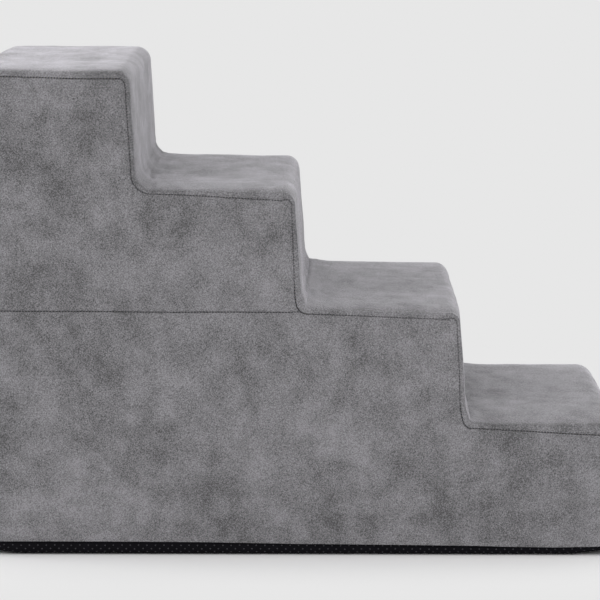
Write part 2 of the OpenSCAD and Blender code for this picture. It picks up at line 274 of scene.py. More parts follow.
class Outline:
    """The stairs from the side, from the floor in front over the treads to the floor at the rear.

    Straight stretches are joined by arcs. An arc of radius r begins r * tan(turn / 2) before its
    corner and turns about the point r to its inner side, for a nosing, or to its outer side, for
    the foot of a riser. The place at an inset is the outline's point plus the inset times the
    inward normal, so insets keep the arcs' centres.
    """

    COUNT = 400

    def __init__(self, sizes):
        half = (sizes.top_run + 2 * sizes.tread_run + sizes.bottom_run) / 2
        rises = sizes.first_rise + sizes.step_rise * np.arange(4)
        risers = [half - sizes.bottom_run, half - sizes.bottom_run - sizes.tread_run, sizes.top_run - half]
        lean = sizes.riser_lean / 2
        corners = [(half, 0), (half - sizes.front_lean, rises[0])]
        for x, low, high in zip(risers, rises, rises[1:]):
            corners += [(x + lean, low), (x - lean, high)]
        corners = np.array(corners + [(-half, rises[3]), (-half, 0)])
        nose, foot = sizes.nose_r, sizes.foot_r
        radii = np.array([nose, foot, nose, foot, nose, sizes.top_foot_r, nose, sizes.back_r])
        ahead = unit(np.diff(corners, axis=0))
        angle = np.unwrap(np.arctan2(ahead[:, 1], ahead[:, 0]))
        turn = np.diff(angle)
        cut = (radii * np.tan(np.abs(turn) / 2))[:, None]
        starts, ends = corners[1:-1] - ahead[:-1] * cut, corners[1:-1] + ahead[1:] * cut
        points, angles = [], []
        last = corners[0]
        t = np.linspace(0, 1, self.COUNT, endpoint=False)[:, None]
        for k, radius in enumerate(radii):
            offset = np.sign(turn[k]) * radius
            bend = angle[k] + turn[k] * t[:, 0]
            centre = starts[k] + offset * self.inward(angle[k])
            points += [last + (starts[k] - last) * t, centre - offset * self.inward(bend)]
            angles += [np.full(self.COUNT, angle[k]), bend]
            last = ends[k]
        t = np.linspace(0, 1, self.COUNT)[:, None]
        points.append(last + (corners[-1] - last) * t)
        angles.append(np.full(self.COUNT, angle[-1]))
        self.points, self.angles = np.concatenate(points), np.concatenate(angles)
        self.way = lengths_along(self.points)
        first = self.COUNT * (1 + 2 * np.arange(len(radii)))
        self.arcs = np.stack([self.way[first], self.way[first + self.COUNT]], 1)
        self.length = self.way[-1]
        self.half, self.top, self.width = half, rises[3], sizes.width
        self.rises, self.half_w, self.back_r = rises, sizes.width / 2, sizes.back_r

    @staticmethod
    def inward(angle):
        """The unit vector to the left of a heading."""
        return np.stack([-np.sin(angle), np.cos(angle)], -1)

    def angle(self, way):
        """Heading of the outline at a length along it."""
        return np.interp(way, self.way, self.angles)

    def level(self, way):
        """1 where the outline is level and heads to the rear, and 0 where it is upright."""
        return np.clip(-np.cos(self.angle(way)), 0, 1)

    def at(self, way, inset=0.0):
        """Point (x, z) at a length along the outline, moved in by the inset."""
        inward = self.inward(self.angle(way))
        return on_line(self.points, self.way, way) + np.asarray(inset)[..., None] * inward

    def way_at_height(self, z, front):
        """Length along the outline at which its front or its rear face has height z."""
        if front:
            return np.interp(z, [self.points[0, 1], self.at(self.arcs[0, 0])[1]], [0, self.arcs[0, 0]])
        return self.length - z

    def samples(self, low, high):
        """Lengths along the outline, closer together on the arcs and at both ends."""
        marks = np.concatenate([np.linspace(a, b, 5) for a, b in self.arcs])
        inner = graded(low, high, marks, 0.0014, 0.0050, 0.012)
        inner = inner[(inner > low + 0.0125) & (inner < high - 0.0125)]
        return np.concatenate([seam_rows(low, low + 0.012, low), inner, seam_rows(high - 0.012, high, high)])


def grid_faces(rows, columns):
    """Quads of a grid whose points run along its columns first. They face column x row."""
    i, j = np.meshgrid(np.arange(rows - 1), np.arange(columns - 1), indexing="ij")
    a = (i * columns + j).ravel()
    return np.stack([a, a + 1, a + columns + 1, a + columns], 1)


def closed_sheet(outer, inner, faces):
    """One closed skin from the two layers of a sheet: the inner layer's faces are turned round, and
    a wall joins the layers along every edge that only one face uses."""
    count = len(outer)
    edges = np.stack([faces, np.roll(faces, -1, 1)], -1).reshape(-1, 2)
    _, first, uses = np.unique(np.sort(edges, 1), axis=0, return_index=True, return_counts=True)
    rim = edges[first[uses == 1]]
    walls = np.stack([rim[:, 1], rim[:, 0], rim[:, 0] + count, rim[:, 1] + count], 1)
    return np.concatenate([outer, inner]), np.concatenate([faces, faces[:, ::-1] + count, walls])


def closed_tube(rings):
    """Points and faces of a tube through rings (n, m, 3), its ends closed by fans round their middles."""
    n, m = rings.shape[:2]
    i, j = np.meshgrid(np.arange(n - 1), np.arange(m), indexing="ij")
    a, b = (i * m + j).ravel(), (i * m + (j + 1) % m).ravel()
    points = np.concatenate([rings.reshape(-1, 3), rings[[0, -1]].mean(1)])
    k = np.arange(m)
    low = np.stack([np.full(m, n * m), (k + 1) % m, k], 1)
    high = np.stack([np.full(m, n * m + 1), (n - 1) * m + k, (n - 1) * m + (k + 1) % m], 1)
    return points, [np.stack([a, b, b + m, a + m], 1), low, high]


def repeated(points, faces, places, along, across, out):
    """Copies of a small shape, each turned so that its x, y and z lie on the given directions."""
    axes = np.stack([along, across, out], 1)
    spots = places[:, None, :] + np.einsum("vk,nkd->nvd", points, axes)
    shift = (np.arange(len(places)) * len(points))[:, None, None]
    return spots.reshape(-1, 3), [(f[None] + shift).reshape(-1, f.shape[1]) for f in faces]


def joined(parts):
    """Several shapes as one: points, and lists of faces whose numbers count on from shape to shape."""
    shifts = np.cumsum([0] + [len(points) for points, _ in parts])
    kinds = zip(*(faces for _, faces in parts))
    faces = [np.concatenate([f + shift for f, shift in zip(kind, shifts)]) for kind in kinds]
    return np.concatenate([points for points, _ in parts]), faces


def make_piece(context, name, points, faces, finish, nodes=(), uv=None, painted_shading=None):
    """A mesh object from arrays, which rides on the stairs and stands for the named CAD nodes."""
    faces = faces if isinstance(faces, list) else [faces]
    mesh = bpy.data.meshes.new(name)
    corners = np.concatenate([f.ravel() for f in faces]).astype(np.int32)
    sizes = np.concatenate([np.full(len(f), f.shape[1]) for f in faces])
    mesh.vertices.add(len(points))
    mesh.vertices.foreach_set("co", np.ascontiguousarray(points, np.float32).ravel())
    mesh.loops.add(len(corners))
    mesh.loops.foreach_set("vertex_index", corners)
    mesh.polygons.add(len(sizes))
    mesh.polygons.foreach_set("loop_start", np.concatenate([[0], np.cumsum(sizes)[:-1]]).astype(np.int32))
    mesh.polygons.foreach_set("use_smooth", np.full(len(sizes), True))
    if uv is not None:
        layer = mesh.uv_layers.new(name="cloth")
        layer.data.foreach_set("uv", np.ascontiguousarray(uv[corners], np.float32).ravel())
    # Painted shade: a per-point share by which the suede's colour is painted darker along the seams, and
    # lighter or darker along the creases at the risers' feet
    if painted_shading is not None:
        values = mesh.attributes.new("painted_shading", "FLOAT", "POINT")
        values.data.foreach_set("value", np.ascontiguousarray(painted_shading, np.float32))
    mesh.update(calc_edges=True)
    if mesh.validate():
        raise RuntimeError(f"{name}: the mesh had faulty faces")
    piece = bpy.data.objects.new(name, mesh)
    context.scene.collection.objects.link(piece)
    mesh.materials.append(finish_of(context, finish))
    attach(piece, "stairs")
    if nodes:
        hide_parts(*nodes)
    return piece


# How the cover lies

def hem_height(cover, x, half):
    """Height of the suede's lower hem: level at the rear and lower towards the foot of the stairs."""
    places = half * np.array([-0.6, -0.28, 0.02, 0.32, 0.56, 0.68, 0.80, 0.9, 1.0])
    falls = [0, 0.09, 0.41, 0.55, 0.73, 0.90, 1.0, 0.88, 0.7]
    return cover.hem_z - cover.hem_drop * np.interp(x, places, falls)


def settled(points, cover, outline):
    """Cover points moved as the sewn cloth settles: the lower hem hangs down towards the front, and
    the seams at the sides wander a little, but not at the floor or on the back."""
    x, y, z = points.T
    half = outline.half
    drop = cover.hem_z - hem_height(cover, x, half)
    z = z - drop * (1 - soft_step(z, cover.hem_z, 0.045))
    up = soft_step(z, 0.012, 0.05) * (1 - soft_step(-x, half - 0.012, half - 0.002))
    at = x + np.sign(y) * 100
    wide, fine = 0.00045, 0.00025
    dx = uneven(at, z, (wide, 0.055, 11), (fine, 0.021, 12))
    dz = uneven(at, z, (wide, 0.060, 13), (fine, 0.024, 14))
    side = soft_step(np.abs(y), outline.half_w - 0.05, outline.half_w - 0.006)
    return np.stack([x + up * side * dx, y, z + up * side * dz], 1)


def by_step(outline, way, foot, riser, nose, tread, blur=0.006):
    """Values along the outline with one value each at a riser's foot, at its top, behind its nosing
    and at the rear of its tread, four of each. Straight lines join them, and each is averaged over a
    blur's length to both sides, weighed by a cosine squared."""
    foot, riser, nose, tread = (np.broadcast_to(v, 4) for v in (foot, riser, nose, tread))
    above_foot, before_nose_end, before_rear = 0.010, 0.001, 0.004
    arcs = outline.arcs
    places, values = [0.0], [foot[0]]
    for k in range(4):
        start = 0.0 if k == 0 else arcs[2 * k - 1, 1]
        gap = min(above_foot, (arcs[2 * k, 0] - start) / 4)
        places += [start + gap, arcs[2 * k, 0], arcs[2 * k, 1] - before_nose_end,
                   arcs[2 * k + 1, 0] - before_rear]
        values += [foot[k], riser[k], nose[k], tread[k]]
    places += [arcs[7, 1], outline.length]
    values += [foot[0], foot[0]]
    share = np.linspace(-1, 1, 9)
    weight = np.cos(share * np.pi / 2) ** 2
    return np.interp(np.asarray(way)[..., None] + blur * share, places, values) @ (weight / weight.sum())


def seam_depth(cover, outline, way):
    """Inset of the edge seams along the outline. It comes back to the plain inset at the rear."""
    depth = by_step(outline, way, cover.foot_seam, cover.riser_seam, cover.nose_seam, cover.tread_seam)
    rear = soft_step(np.asarray(way), outline.arcs[7, 0], outline.arcs[7, 1])
    return depth + (cover.seam_in - depth) * rear


def sink_depth(cover, outline, way):
    """How far the cloth sinks to its tighter side, along the outline."""
    riser, tread, behind_nosing = cover.riser_sink, np.array(cover.tread_sink), 0.8
    return by_step(outline, way, riser, riser, behind_nosing * tread, tread, 0.012)


def lie_depth(cover, outline, way):
    """How deep the cloth lies below the straight outline: the hollow of each tread, less the fill at
    the foot behind it, which fades as a bell with its own reach on the tread and on the riser."""
    on_tread, on_riser = 0.016, 0.009
    way = np.asarray(way)
    depth = by_step(outline, way, 0.0, cover.riser_lie, cover.nose_lie, cover.tread_lie, 0.014)
    for k in range(3):
        middle = outline.arcs[2 * k + 1].mean()
        depth = depth - cover.foot_lie[k] * bell(way - middle, np.where(way < middle, on_tread, on_riser))
    return depth


def edge_curve(lip=0.0006, band=0.0014, radius=0.0021, slope=np.radians(7), reach=0.008, end=0.05):
    """Half the section of a wrapped panel, from the groove of its seam to the flat middle, as
    (distance in from the side, share of the seam's inset).

    A point runs along it and turns: by 90 degrees over the groove's lip, by 8 along the band on the
    side, and over the rounded edge until only the slope is left. The depth that remains then fades as
    e to the minus distance.
    """
    quarter, turn = np.pi / 2, np.radians(8)
    knots = np.cumsum([0, 0.0002, lip * quarter, band, radius * (quarter - turn - slope)])
    run = np.linspace(0, knots[-1], 3000)
    heading = np.interp(run, knots, [0, 0, quarter, quarter + turn, np.pi - slope])
    step = run[1]
    into = -np.concatenate([[0], np.cumsum(np.cos(heading[1:]) + np.cos(heading[:-1])) / 2]) * step
    up = np.concatenate([[0], np.cumsum(np.sin(heading[1:]) + np.sin(heading[:-1])) / 2]) * step
    into -= into.min()
    stops = np.concatenate([
        np.linspace(0, knots[2], 7, endpoint=False),
        np.linspace(knots[2], knots[3], 4, endpoint=False),
        np.linspace(knots[3], knots[4], 12)])
    rest = reach * np.tan(slope)
    a, d = np.interp(stops, run, into), up[-1] + rest - np.interp(stops, run, up)
    way = np.linspace(0, 1, 19)[1:] ** 1.5
    tail_a = a[-1] + (end - a[-1]) * way
    tail_d = rest * (fading(tail_a - a[-1], reach) - way ** 2 * fading(end - a[-1], reach))
    a, d = np.concatenate([a, tail_a]), np.concatenate([d, tail_d])
    return a, d / d[0]


def wrap_section(cover, outline, way):
    """Section of a panel that wraps both sides, along the outline: y, depth below the face and the
    distance in from the side.

    The edge curve is stretched to reach from the seam's inset to the depth to which the cloth sinks
    there, and the sinking fades away from the side. The side at -y is the tighter one.
    """
    column, looser_side = 0.0043, 0.3
    riser_reach, tread_reach = 0.030, 0.050
    a, e = edge_curve()
    half_w = outline.half_w
    inner = half_w - a[-1]
    middle = np.linspace(-inner, inner, int(round(2 * inner / column)) + 1)[1:-1]
    y = np.concatenate([a - half_w, middle, half_w - a[::-1]])[None]
    edge = np.concatenate([e, 0 * middle, e[::-1]])[None]
    side = half_w - np.abs(y)
    sink = sink_depth(cover, outline, way)[:, None] * np.where(y < 0, 1.0, looser_side)
    level = outline.level(way)[:, None]
    depth = edge * (seam_depth(cover, outline, way)[:, None] - GROOVE - sink)
    depth = depth + sink * fading(side, riser_reach + (tread_reach - riser_reach) * level)
    return tuple(np.broadcast_to(v, depth.shape) for v in (y, depth, side))


def foot_creases(cover, outline, way, y):
    """Creases along the foot of each riser. They leave the far end of the foot close together and
    spread over the tread to the near side, more than three times as wide, and fade with that spread.
    Slow waves along the foot lie under them."""
    deep, bulge = 0.0010, 0.0007
    total = 0
    near = np.clip(0.5 - y / (2 * outline.half_w), 0, 1)
    for k, (strength, seed) in zip((1, 3, 5), ((0.8, 3), (1.2, 5), (1.0, 9))):
        on_tread = outline.arcs[k].mean() - way
        spread = on_tread / (0.9 + 2.1 * near ** 3)
        fade = np.where(on_tread > 0, fading(spread, 0.016), fading(-on_tread, 0.012))
        lines = soft_noise(spread, 0.05 * y + seed * 7.3, 0.0038, seed)
        lines = lines + 0.6 * soft_noise(spread, 0.04 * y + seed * 3.1, 0.0021, seed + 1)
        waves = soft_noise(y, 0 * y + seed, 0.05, seed + 2)
        total = total + strength * (deep * fade * lines + bulge * bell(on_tread, 0.010) * waves)
    return cover.slack * total


def strip_relief(cover, outline, way, y):
    """Depth of the cloth's unevenness on treads and risers: how each tread lies, creases at the feet,
    a hollow along each tread, a bell of 70 mm about a line 50 mm to the near side of the middle, and
    noise at 90, 35 and 14 mm. It fades out towards the side seams."""
    side = outline.half_w - np.abs(y)
    noise = uneven(way, y, (0.0006, 0.09, 21), (0.00028, 0.035, 22), (0.00009, 0.014, 23))
    lie = lie_depth(cover, outline, way[:, 0])[:, None] * (1 - fading(side, 0.002))
    hollow = cover.dish * outline.level(way) ** 2 * bell(y + 0.05, 0.07)
    return lie + (foot_creases(cover, outline, way, y) + noise + hollow) * (1 - fading(side, 0.009))


def end_roll(way, ends, reach=0.0014, depth=0.0009):
    """Depth by which a panel's ends turn into their seams: (1 - distance / reach) ^ 2.2 of the full
    depth."""
    near = np.min([np.abs(way - end) for end in ends], axis=0)
    return depth * (1 - np.clip(near / reach, 0, 1)) ** 2.2


def carried(outline, way, y, depth):
    """Points at lengths along the outline, across the stairs and below its face."""
    place = outline.at(way, depth)
    return np.stack([place[..., 0], y, place[..., 1]], -1).reshape(-1, 3)


def wrapped_panel(cover, outline, way, relief):
    """A panel carried along the outline: each place along it holds the wrap section, pushed in by
    the relief. The inner layer lies one thickness in, along the normal of the section."""
    y, depth, side = wrap_section(cover, outline, way)
    seam_at = seam_depth(cover, outline, way)[:, None]
    s = np.broadcast_to(way[:, None], y.shape)
    depth = depth + relief(s, y)
    dy, dd = np.gradient(y, axis=1), np.gradient(depth, axis=1)
    size = np.hypot(dy, dd)
    thinned = 0.45
    thick = CLOTH * (thinned + (1 - thinned) * soft_step(seam_at - depth, 0.0, 0.003))
    outer = carried(outline, s, y, depth)
    inner = carried(outline, s, y - thick * dd / size, depth + thick * dy / size)
    run = np.concatenate([np.zeros((len(y), 1)), np.cumsum(np.hypot(np.diff(y), np.diff(depth)), 1)], 1)
    run -= run[:, run.shape[1] // 2][:, None]
    uv = np.stack([s, run * NAP_SPREAD], -1).reshape(-1, 2)
    # Painted shade: the cloth's colour is painted darker where it turns into the edge seam's groove
    seam = fading(np.abs(seam_at - depth), SEAM_SHADE) * (side < 0.004)
    return outer, inner, grid_faces(*y.shape), uv, seam.ravel()


def cover_sheet(context, name, layers, nodes, flat, rests_on=FOAM, **declared):
    """A panel of suede from its two layers: closed and settled."""
    outer, inner, faces, uv, seam = layers
    points, faces = closed_sheet(outer, inner, faces)
    points = settled(points, context.scene.stair_cover, Outline(context.scene.stair_sizes))
    # The last layer is the painted shade at the seams, which goes on both layers of the cloth
    piece = make_piece(context, name, points, faces, "brushed_suede", nodes,
                       uv=np.concatenate([uv, uv]), painted_shading=np.concatenate([seam, seam]))


def chunks(count, width):
    """Parts of the numbers up to count, so that tables of a part by the width stay small."""
    return np.array_split(np.arange(count), max(1, count * width // PAIRS_AT_ONCE))


def distance_to_line(points, line):
    """Distance of each point from a closed line of straight pieces, and the length along the line
    at which the nearest place lies."""
    a, b = line, np.roll(line, -1, 0)
    step = b - a
    size = np.maximum((step ** 2).sum(1), 1e-18)
    way = np.concatenate([[0], np.cumsum(np.sqrt(size))[:-1]])
    best, where = np.empty(len(points)), np.empty(len(points))
    for part in chunks(len(points), len(line)):
        gap = points[part][:, None] - a[None]
        t = np.clip((gap * step).sum(-1) / size, 0, 1)
        far = ((gap - t[..., None] * step) ** 2).sum(-1)
        nearest = far.argmin(1)
        row = np.arange(len(part))
        best[part] = np.sqrt(far[row, nearest])
        where[part] = way[nearest] + t[row, nearest] * np.sqrt(size[nearest])
    return best, where


def side_line(outline, low, high, inset):
    """The closed line round a side panel between two heights: up the inset outline at the front, level
    across where it ends, and down at the rear."""
    marks = np.concatenate([np.linspace(a, b, 9) for a, b in outline.arcs])
    way = graded(0, outline.length, marks, 0.0008, 0.02, 0.004)
    line = outline.at(way, np.full(len(way), inset))
    front = way < outline.arcs[7, 0]
    keep = (line[:, 1] >= low) & (line[:, 1] <= high)
    rear_x = inset - outline.half
    if low < outline.rises[0]:
        start = np.interp(low, line[front][:, 1], line[front][:, 0])
    else:
        start = outline_front_x(outline, low, inset)
    parts = [[[start, low]], line[front & keep]]
    if high < outline.top - outline.back_r:
        parts.append([[outline_front_x(outline, high, inset), high], [rear_x, high]])
    return np.concatenate([*parts, line[~front & keep], [[rear_x, low]]])


def riser_line(outline, k, inset):
    """(z, x) of the inset outline from the end of the tread before riser k to the end of its nosing."""
    low = 0.0 if k == 0 else outline.arcs[2 * k - 1, 0]
    way = np.linspace(low, outline.arcs[2 * k, 1], 1500)
    line = outline.at(way, np.full(len(way), inset))
    return line[:, 1], line[:, 0]


def outline_front_x(outline, z, inset):
    """x of the inset outline's riser at a height between two treads."""
    k = int(np.searchsorted(outline.rises - inset, z))
    heights, places = riser_line(outline, k, inset)
    return np.interp(z, heights, places)


def side_grid(outline, low, high, inset):
    """Grid of a side panel, in x and z, and which of its faces belong to the panel.

    Rows are level and closer together near each tread and near the seams. Columns come in groups,
    one for each riser: below a tread a group has fixed ends, and beside its own riser it reaches to
    the riser's line, so that all rows share their columns. Faces in front of a riser don't belong.
    """
    fine, coarse, reach = 0.0004, 0.0042, 0.006
    levels = outline.rises - inset
    first = int(np.searchsorted(levels, low))
    cuts = [low, *(z for z in levels if low < z < high), high]
    feet = [outline.at(outline.arcs[2 * k - 1, 0], inset)[0] for k in (3, 2, 1)]
    edges = np.array([inset - outline.half, *feet, outline.half])
    columns, group = [], []
    for g, (start, end) in enumerate(zip(edges[:4 - first], edges[1:])):
        marks = [start, end] if g == 0 else [end]
        t = (graded(start, end, marks, fine, coarse, reach) - start) / (end - start)
        columns.append(t[min(g, 1):])
        group.append(np.full(len(columns[-1]), g))
    t, group = np.concatenate(columns), np.concatenate(group)
    rows, riser = [], []
    for n, (a, b) in enumerate(zip(cuts, cuts[1:])):
        rows.append(graded(a, b, [a, b], 0.0003, coarse, reach)[min(n, 1):])
        riser.append(np.full(len(rows[-1]), first + n))
    z, riser = np.concatenate(rows), np.concatenate(riser)
    start, end = (np.tile(edges[group + n], (len(z), 1)) for n in (0, 1))
    for k in range(first, first + len(cuts) - 1):
        heights, places = riser_line(outline, k, inset)
        mine = (riser == k)[:, None] & (group == 3 - k)[None, :]
        end = np.where(mine, np.interp(z, heights, places)[:, None], end)
    if high > outline.top - outline.back_r:
        way = np.linspace(*outline.arcs[7], 800)
        arc = outline.at(way, np.full(len(way), inset))[::-1]
        rear_x = np.interp(z, arc[:, 1], arc[:, 0], left=edges[0])
        start = np.where((group == 0)[None, :], rear_x[:, None], start)
    x = start + (end - start) * t[None, :]
    keep = group[None, 1:] < (4 - riser[1:])[:, None]
    return x, np.broadcast_to(z[:, None], x.shape), keep


# Shader maths

class Wire:
    """A node's output that the signs of arithmetic work on: each adds a Math node."""

    def __init__(self, nodes, socket):
        self.nodes, self.socket = nodes, socket

    def __add__(self, other):
        return self.nodes.maths("ADD", self, other)

    def __sub__(self, other):
        return self.nodes.maths("SUBTRACT", self, other)

    def __rsub__(self, other):
        return self.nodes.maths("SUBTRACT", other, self)

    def __mul__(self, other):
        return self.nodes.maths("MULTIPLY", self, other)

    def __pow__(self, other):
        return self.nodes.maths("POWER", self, other)

    __radd__, __rmul__ = __add__, __mul__


class Nodes:
    """The nodes of a material or a world."""

    def __init__(self, tree):
        self.tree = tree

    def first(self, kind):
        """The first node of a kind."""
        return next(node for node in self.tree.nodes if node.type == kind)

    def add(self, kind, settings=None, sockets=None, output=0):
        """A node with its settings made first, then the values or links of its sockets."""
        node = self.tree.nodes.new(kind)
        for key, value in (settings or {}).items():
            setattr(node, key, value)
        for key, value in (sockets or {}).items():
            if isinstance(value, Wire):
                self.tree.links.new(value.socket, node.inputs[key])
            else:
                node.inputs[key].default_value = value
        return Wire(self, node.outputs[output])

    def maths(self, operation, *values):
        """A Math node on values or wires."""
        return self.add("ShaderNodeMath", {"operation": operation}, dict(enumerate(values)))

    def place(self):
        """Object coordinates."""
        return self.add("ShaderNodeTexCoord", output="Object")

    def axis(self, place, name):
        """One of three coordinates."""
        return self.add("ShaderNodeSeparateXYZ", None, {0: place}, name)

    def scaled(self, place, factors):
        """Coordinates stretched by three factors."""
        return self.add("ShaderNodeVectorMath", {"operation": "MULTIPLY"}, {0: place, 1: factors})

    def noise(self, place, scale, detail=2.0, rough=0.5):
        """Noise from 0 to 1 about one half."""
        return self.add("ShaderNodeTexNoise", {"noise_dimensions": "3D"},
                        {"Vector": place, "Scale": scale, "Detail": detail, "Roughness": rough})

    def mix(self, factor, first, second, blend="MIX"):
        """A mix of two colours."""
        first, second = ((*c, 1) if isinstance(c, tuple) and len(c) == 3 else c for c in (first, second))
        return self.add("ShaderNodeMix", {"data_type": "RGBA", "blend_type": blend, "clamp_factor": True},
                        {0: factor, 6: first, 7: second}, 2)

    def shades(self, factor, base, low, high):
        """A mix of a colour times low and the same times high."""
        return self.mix(factor, tuple(c * low for c in base), tuple(c * high for c in base))

    def bump(self, height, distance, strength=1.0, under=None):
        """Normal from a height between 0 and 1 over a distance in metres."""
        sockets = {"Height": height, "Distance": distance, "Strength": strength}
        if under is not None:
            sockets["Normal"] = under
        return self.add("ShaderNodeBump", None, sockets)

    def show(self, factor, first, second):
        """Shows the first shader where the factor is 0 and the second where it is 1."""
        both = self.add("ShaderNodeMixShader", None, {0: factor, 1: first, 2: second})
        self.tree.links.new(both.socket, self.first("OUTPUT_MATERIAL").inputs["Surface"])


class Finish(Nodes):
    """A material and its nodes."""

    def __init__(self, name, **constants):
        self.material = bpy.data.materials.new(name)
        self.material.use_nodes = True
        super().__init__(self.material.node_tree)
        self.shader = self.first("BSDF_PRINCIPLED")
        for socket, value in constants.items():
            self.shader.inputs[socket.replace("_", " ")].default_value = value

    def feed(self, **sockets):
        """Links wires to the shader's sockets and returns the material."""
        for name, wire in sockets.items():
            self.tree.links.new(wire.socket, self.shader.inputs[name.replace("_", " ")])
        return self.material

    def second(self, factor, **constants):
        """Mixes a second shader into the first: it shows where the factor is 0. Colour and normal
        are those of the first, so this comes after feed."""
        sockets = {name.replace("_", " "): value for name, value in constants.items()}
        for name in ("Base Color", "Normal"):
            sockets[name] = Wire(self, self.shader.inputs[name].links[0].from_socket)
        other = self.add("ShaderNodeBsdfPrincipled", None, sockets)
        self.show(factor, other, Wire(self, self.shader.outputs[0]))


def suede_finish(colours):
    """Micro-suede: a matt cloth whose nap sheens at grazing angles. Its tone drifts in clouds of 20
    to 80 mm that lie across the stairs, over a fine pebbled grain of 1 mm. The nap is raised in
    streaks along the cloth, and sheens less where it lies smooth. The noises' lattice is turned, so
    that no panel lies along it and their strength stays even. Its colour is also painted darker
    along the seams as painted shade, and lighter or darker along the creases at the risers' feet
    as painted light and shade."""
    shared = {"Sheen_Roughness": 0.26, "Sheen_Tint": (*colours.nap, 1)}
    look = Finish("brushed_suede", Sheen_Weight=1.0, Specular_IOR_Level=0.5, **shared)
    cloth = look.add("ShaderNodeUVMap", {"uv_map": "cloth"})
    # Painted shade: the per-point share of darkening at the seams and of light and shade along the creases
    seam = look.add("ShaderNodeAttribute", {"attribute_name": "painted_shading"}, output="Fac")
    across = look.add("ShaderNodeMapping", None, {"Vector": look.place(), "Rotation": (0.6, 0.5, 0.4),
                                                  "Scale": (1.0, 0.4, 1.0)})
    clouds = look.noise(across, 12.0, 5.0, 0.62) - 0.5
    drifts = look.noise(across, 50.0, 2.0, 0.55) - 0.5
    brushed = look.noise(look.scaled(cloth, (28.0, 190.0, 1.0)), 1.0, 3.0, 0.65) - 0.5
    grain = look.noise(across, 900.0, 2.0, 0.6)
    # The painted seam shade and the creases' painted light and shade are taken off the tone here
    tone = 0.5 + clouds * 1.1 + drifts * 0.8 + brushed * 0.25 + (grain - 0.5) * 2.5 - seam * 0.06
    rough = look.bump(grain, 0.0006, 0.8)
    look.feed(Base_Color=look.shades(tone, colours.suede, 0.2, 1.8),
              Normal=look.bump(drifts, 0.0014, 0.5, rough), Roughness=0.75 + clouds * 0.14)
    raised = 0.5 + clouds * 1.2 + drifts * 1.3 + brushed * 1.2 + (grain - 0.5) * 2.0
    look.second(raised, Sheen_Weight=0.5, Specular_IOR_Level=0.8, Roughness=0.6, **shared)
    return look.material


def grip_finish(colours):
    """Black knitted grip fabric: a fine knit on a matt cloth, with lint."""
    look = Finish("knitted_grip", Specular_IOR_Level=0.08)
    place = look.place()
    knit = look.add("ShaderNodeTexVoronoi", {"voronoi_dimensions": "3D"}, {"Vector": place, "Scale": 900.0})
    lint = look.noise(place, 120.0, 4.0, 0.65)
    return look.feed(Base_Color=look.shades(lint, colours.grip, 0.5, 1.7),
                     Normal=look.bump(knit, 0.0002, 0.6), Roughness=0.82 + lint * 0.15)


def dot_finish(colours):
    """Soft rubber: satin, with worn and dusty tops."""
    look = Finish("rubber_dots", Specular_IOR_Level=0.3)
    dust = look.noise(look.place(), 260.0, 3.0, 0.6)
    return look.feed(Base_Color=look.shades(dust, colours.dots, 0.55, 1.5),
                     Normal=look.bump(dust, 0.0001, 0.4), Roughness=0.45 + dust * 0.3)


def thread_finish(colours):
    """Twisted sewing thread: slanting plies along each stitch, and stray fibres."""
    look = Finish("sewing_thread", Sheen_Weight=0.1, Specular_IOR_Level=0.3)
    place = look.place()
    plies = look.add("ShaderNodeTexWave", {"wave_type": "BANDS", "bands_direction": "DIAGONAL"},
                     {"Vector": place, "Scale": 900.0, "Distortion": 1.5, "Detail": 1.0}, "Fac")
    fibres = look.noise(place, 700.0, 3.0, 0.6)
    return look.feed(Base_Color=look.shades(plies * 0.6 + fibres * 0.4, colours.thread, 0.6, 1.5),
                     Normal=look.bump(plies, 0.00012, 0.6), Roughness=0.7 + fibres * 0.2)


def foam_finish(colours):
    """Open-cell foam: pale cells of about 1 mm whose hollows are painted darker as shade, yellowed a little
    in clouds.
    """
    look = Finish("open_cell_foam", Specular_IOR_Level=0.15)
    place = look.place()
    cells = look.add("ShaderNodeTexVoronoi", {"feature": "F1"}, {"Vector": place, "Scale": 700.0})
    clouds = look.noise(place, 14.0, 3.0, 0.6)
    base = tuple(colours.foam)
    aged = tuple(c * share for c, share in zip(base, (0.97, 0.90, 0.72)))
    # Painted shade: each cell's hollow middle is painted darker, down to 0.55 of the foam's colour
    painted_pore_shade = look.mix(cells ** 0.6, tuple(c * 0.55 for c in base), (1.0, 1.0, 1.0))
    tint = look.mix(0.55, look.mix(clouds, base, aged), painted_pore_shade, "MULTIPLY")
    return look.feed(Base_Color=tint, Normal=look.bump(cells, 0.0006, 0.7), Roughness=0.88 + clouds * 0.1)


def tape_finish(colours):
    """Woven zip tape: ribs along the zip, crossed by finer weft."""
    look = Finish("woven_tape", Specular_IOR_Level=0.3, Sheen_Weight=0.1)
    place = look.place()
    weft, rib = (look.maths("SINE", look.axis(place, axis) * (2 * np.pi / gap))
                 for axis, gap in (("Y", WEFT_PITCH), ("Z", RIB_PITCH)))
    weave = 0.5 + weft * rib * 0.5
    wear = look.noise(place, 300.0, 3.0, 0.6)
    return look.feed(Base_Color=look.shades(weave * 0.6 + wear * 0.4, colours.zip_tape, 0.5, 1.8),
                     Normal=look.bump(weave, 0.00025, 0.7), Roughness=0.7 + wear * 0.2)


def coil_finish(colours):
    """Satin nylon with faint scuffs where the slider rubs."""
    look = Finish("coil_nylon", Specular_IOR_Level=0.5)
    scuffs = look.noise(look.scaled(look.place(), (1.0, 0.12, 1.0)), 900.0, 3.0, 0.6)
    return look.feed(Base_Color=look.shades(scuffs, colours.zip_coil, 0.7, 1.5),
                     Roughness=0.25 + scuffs * 0.25)


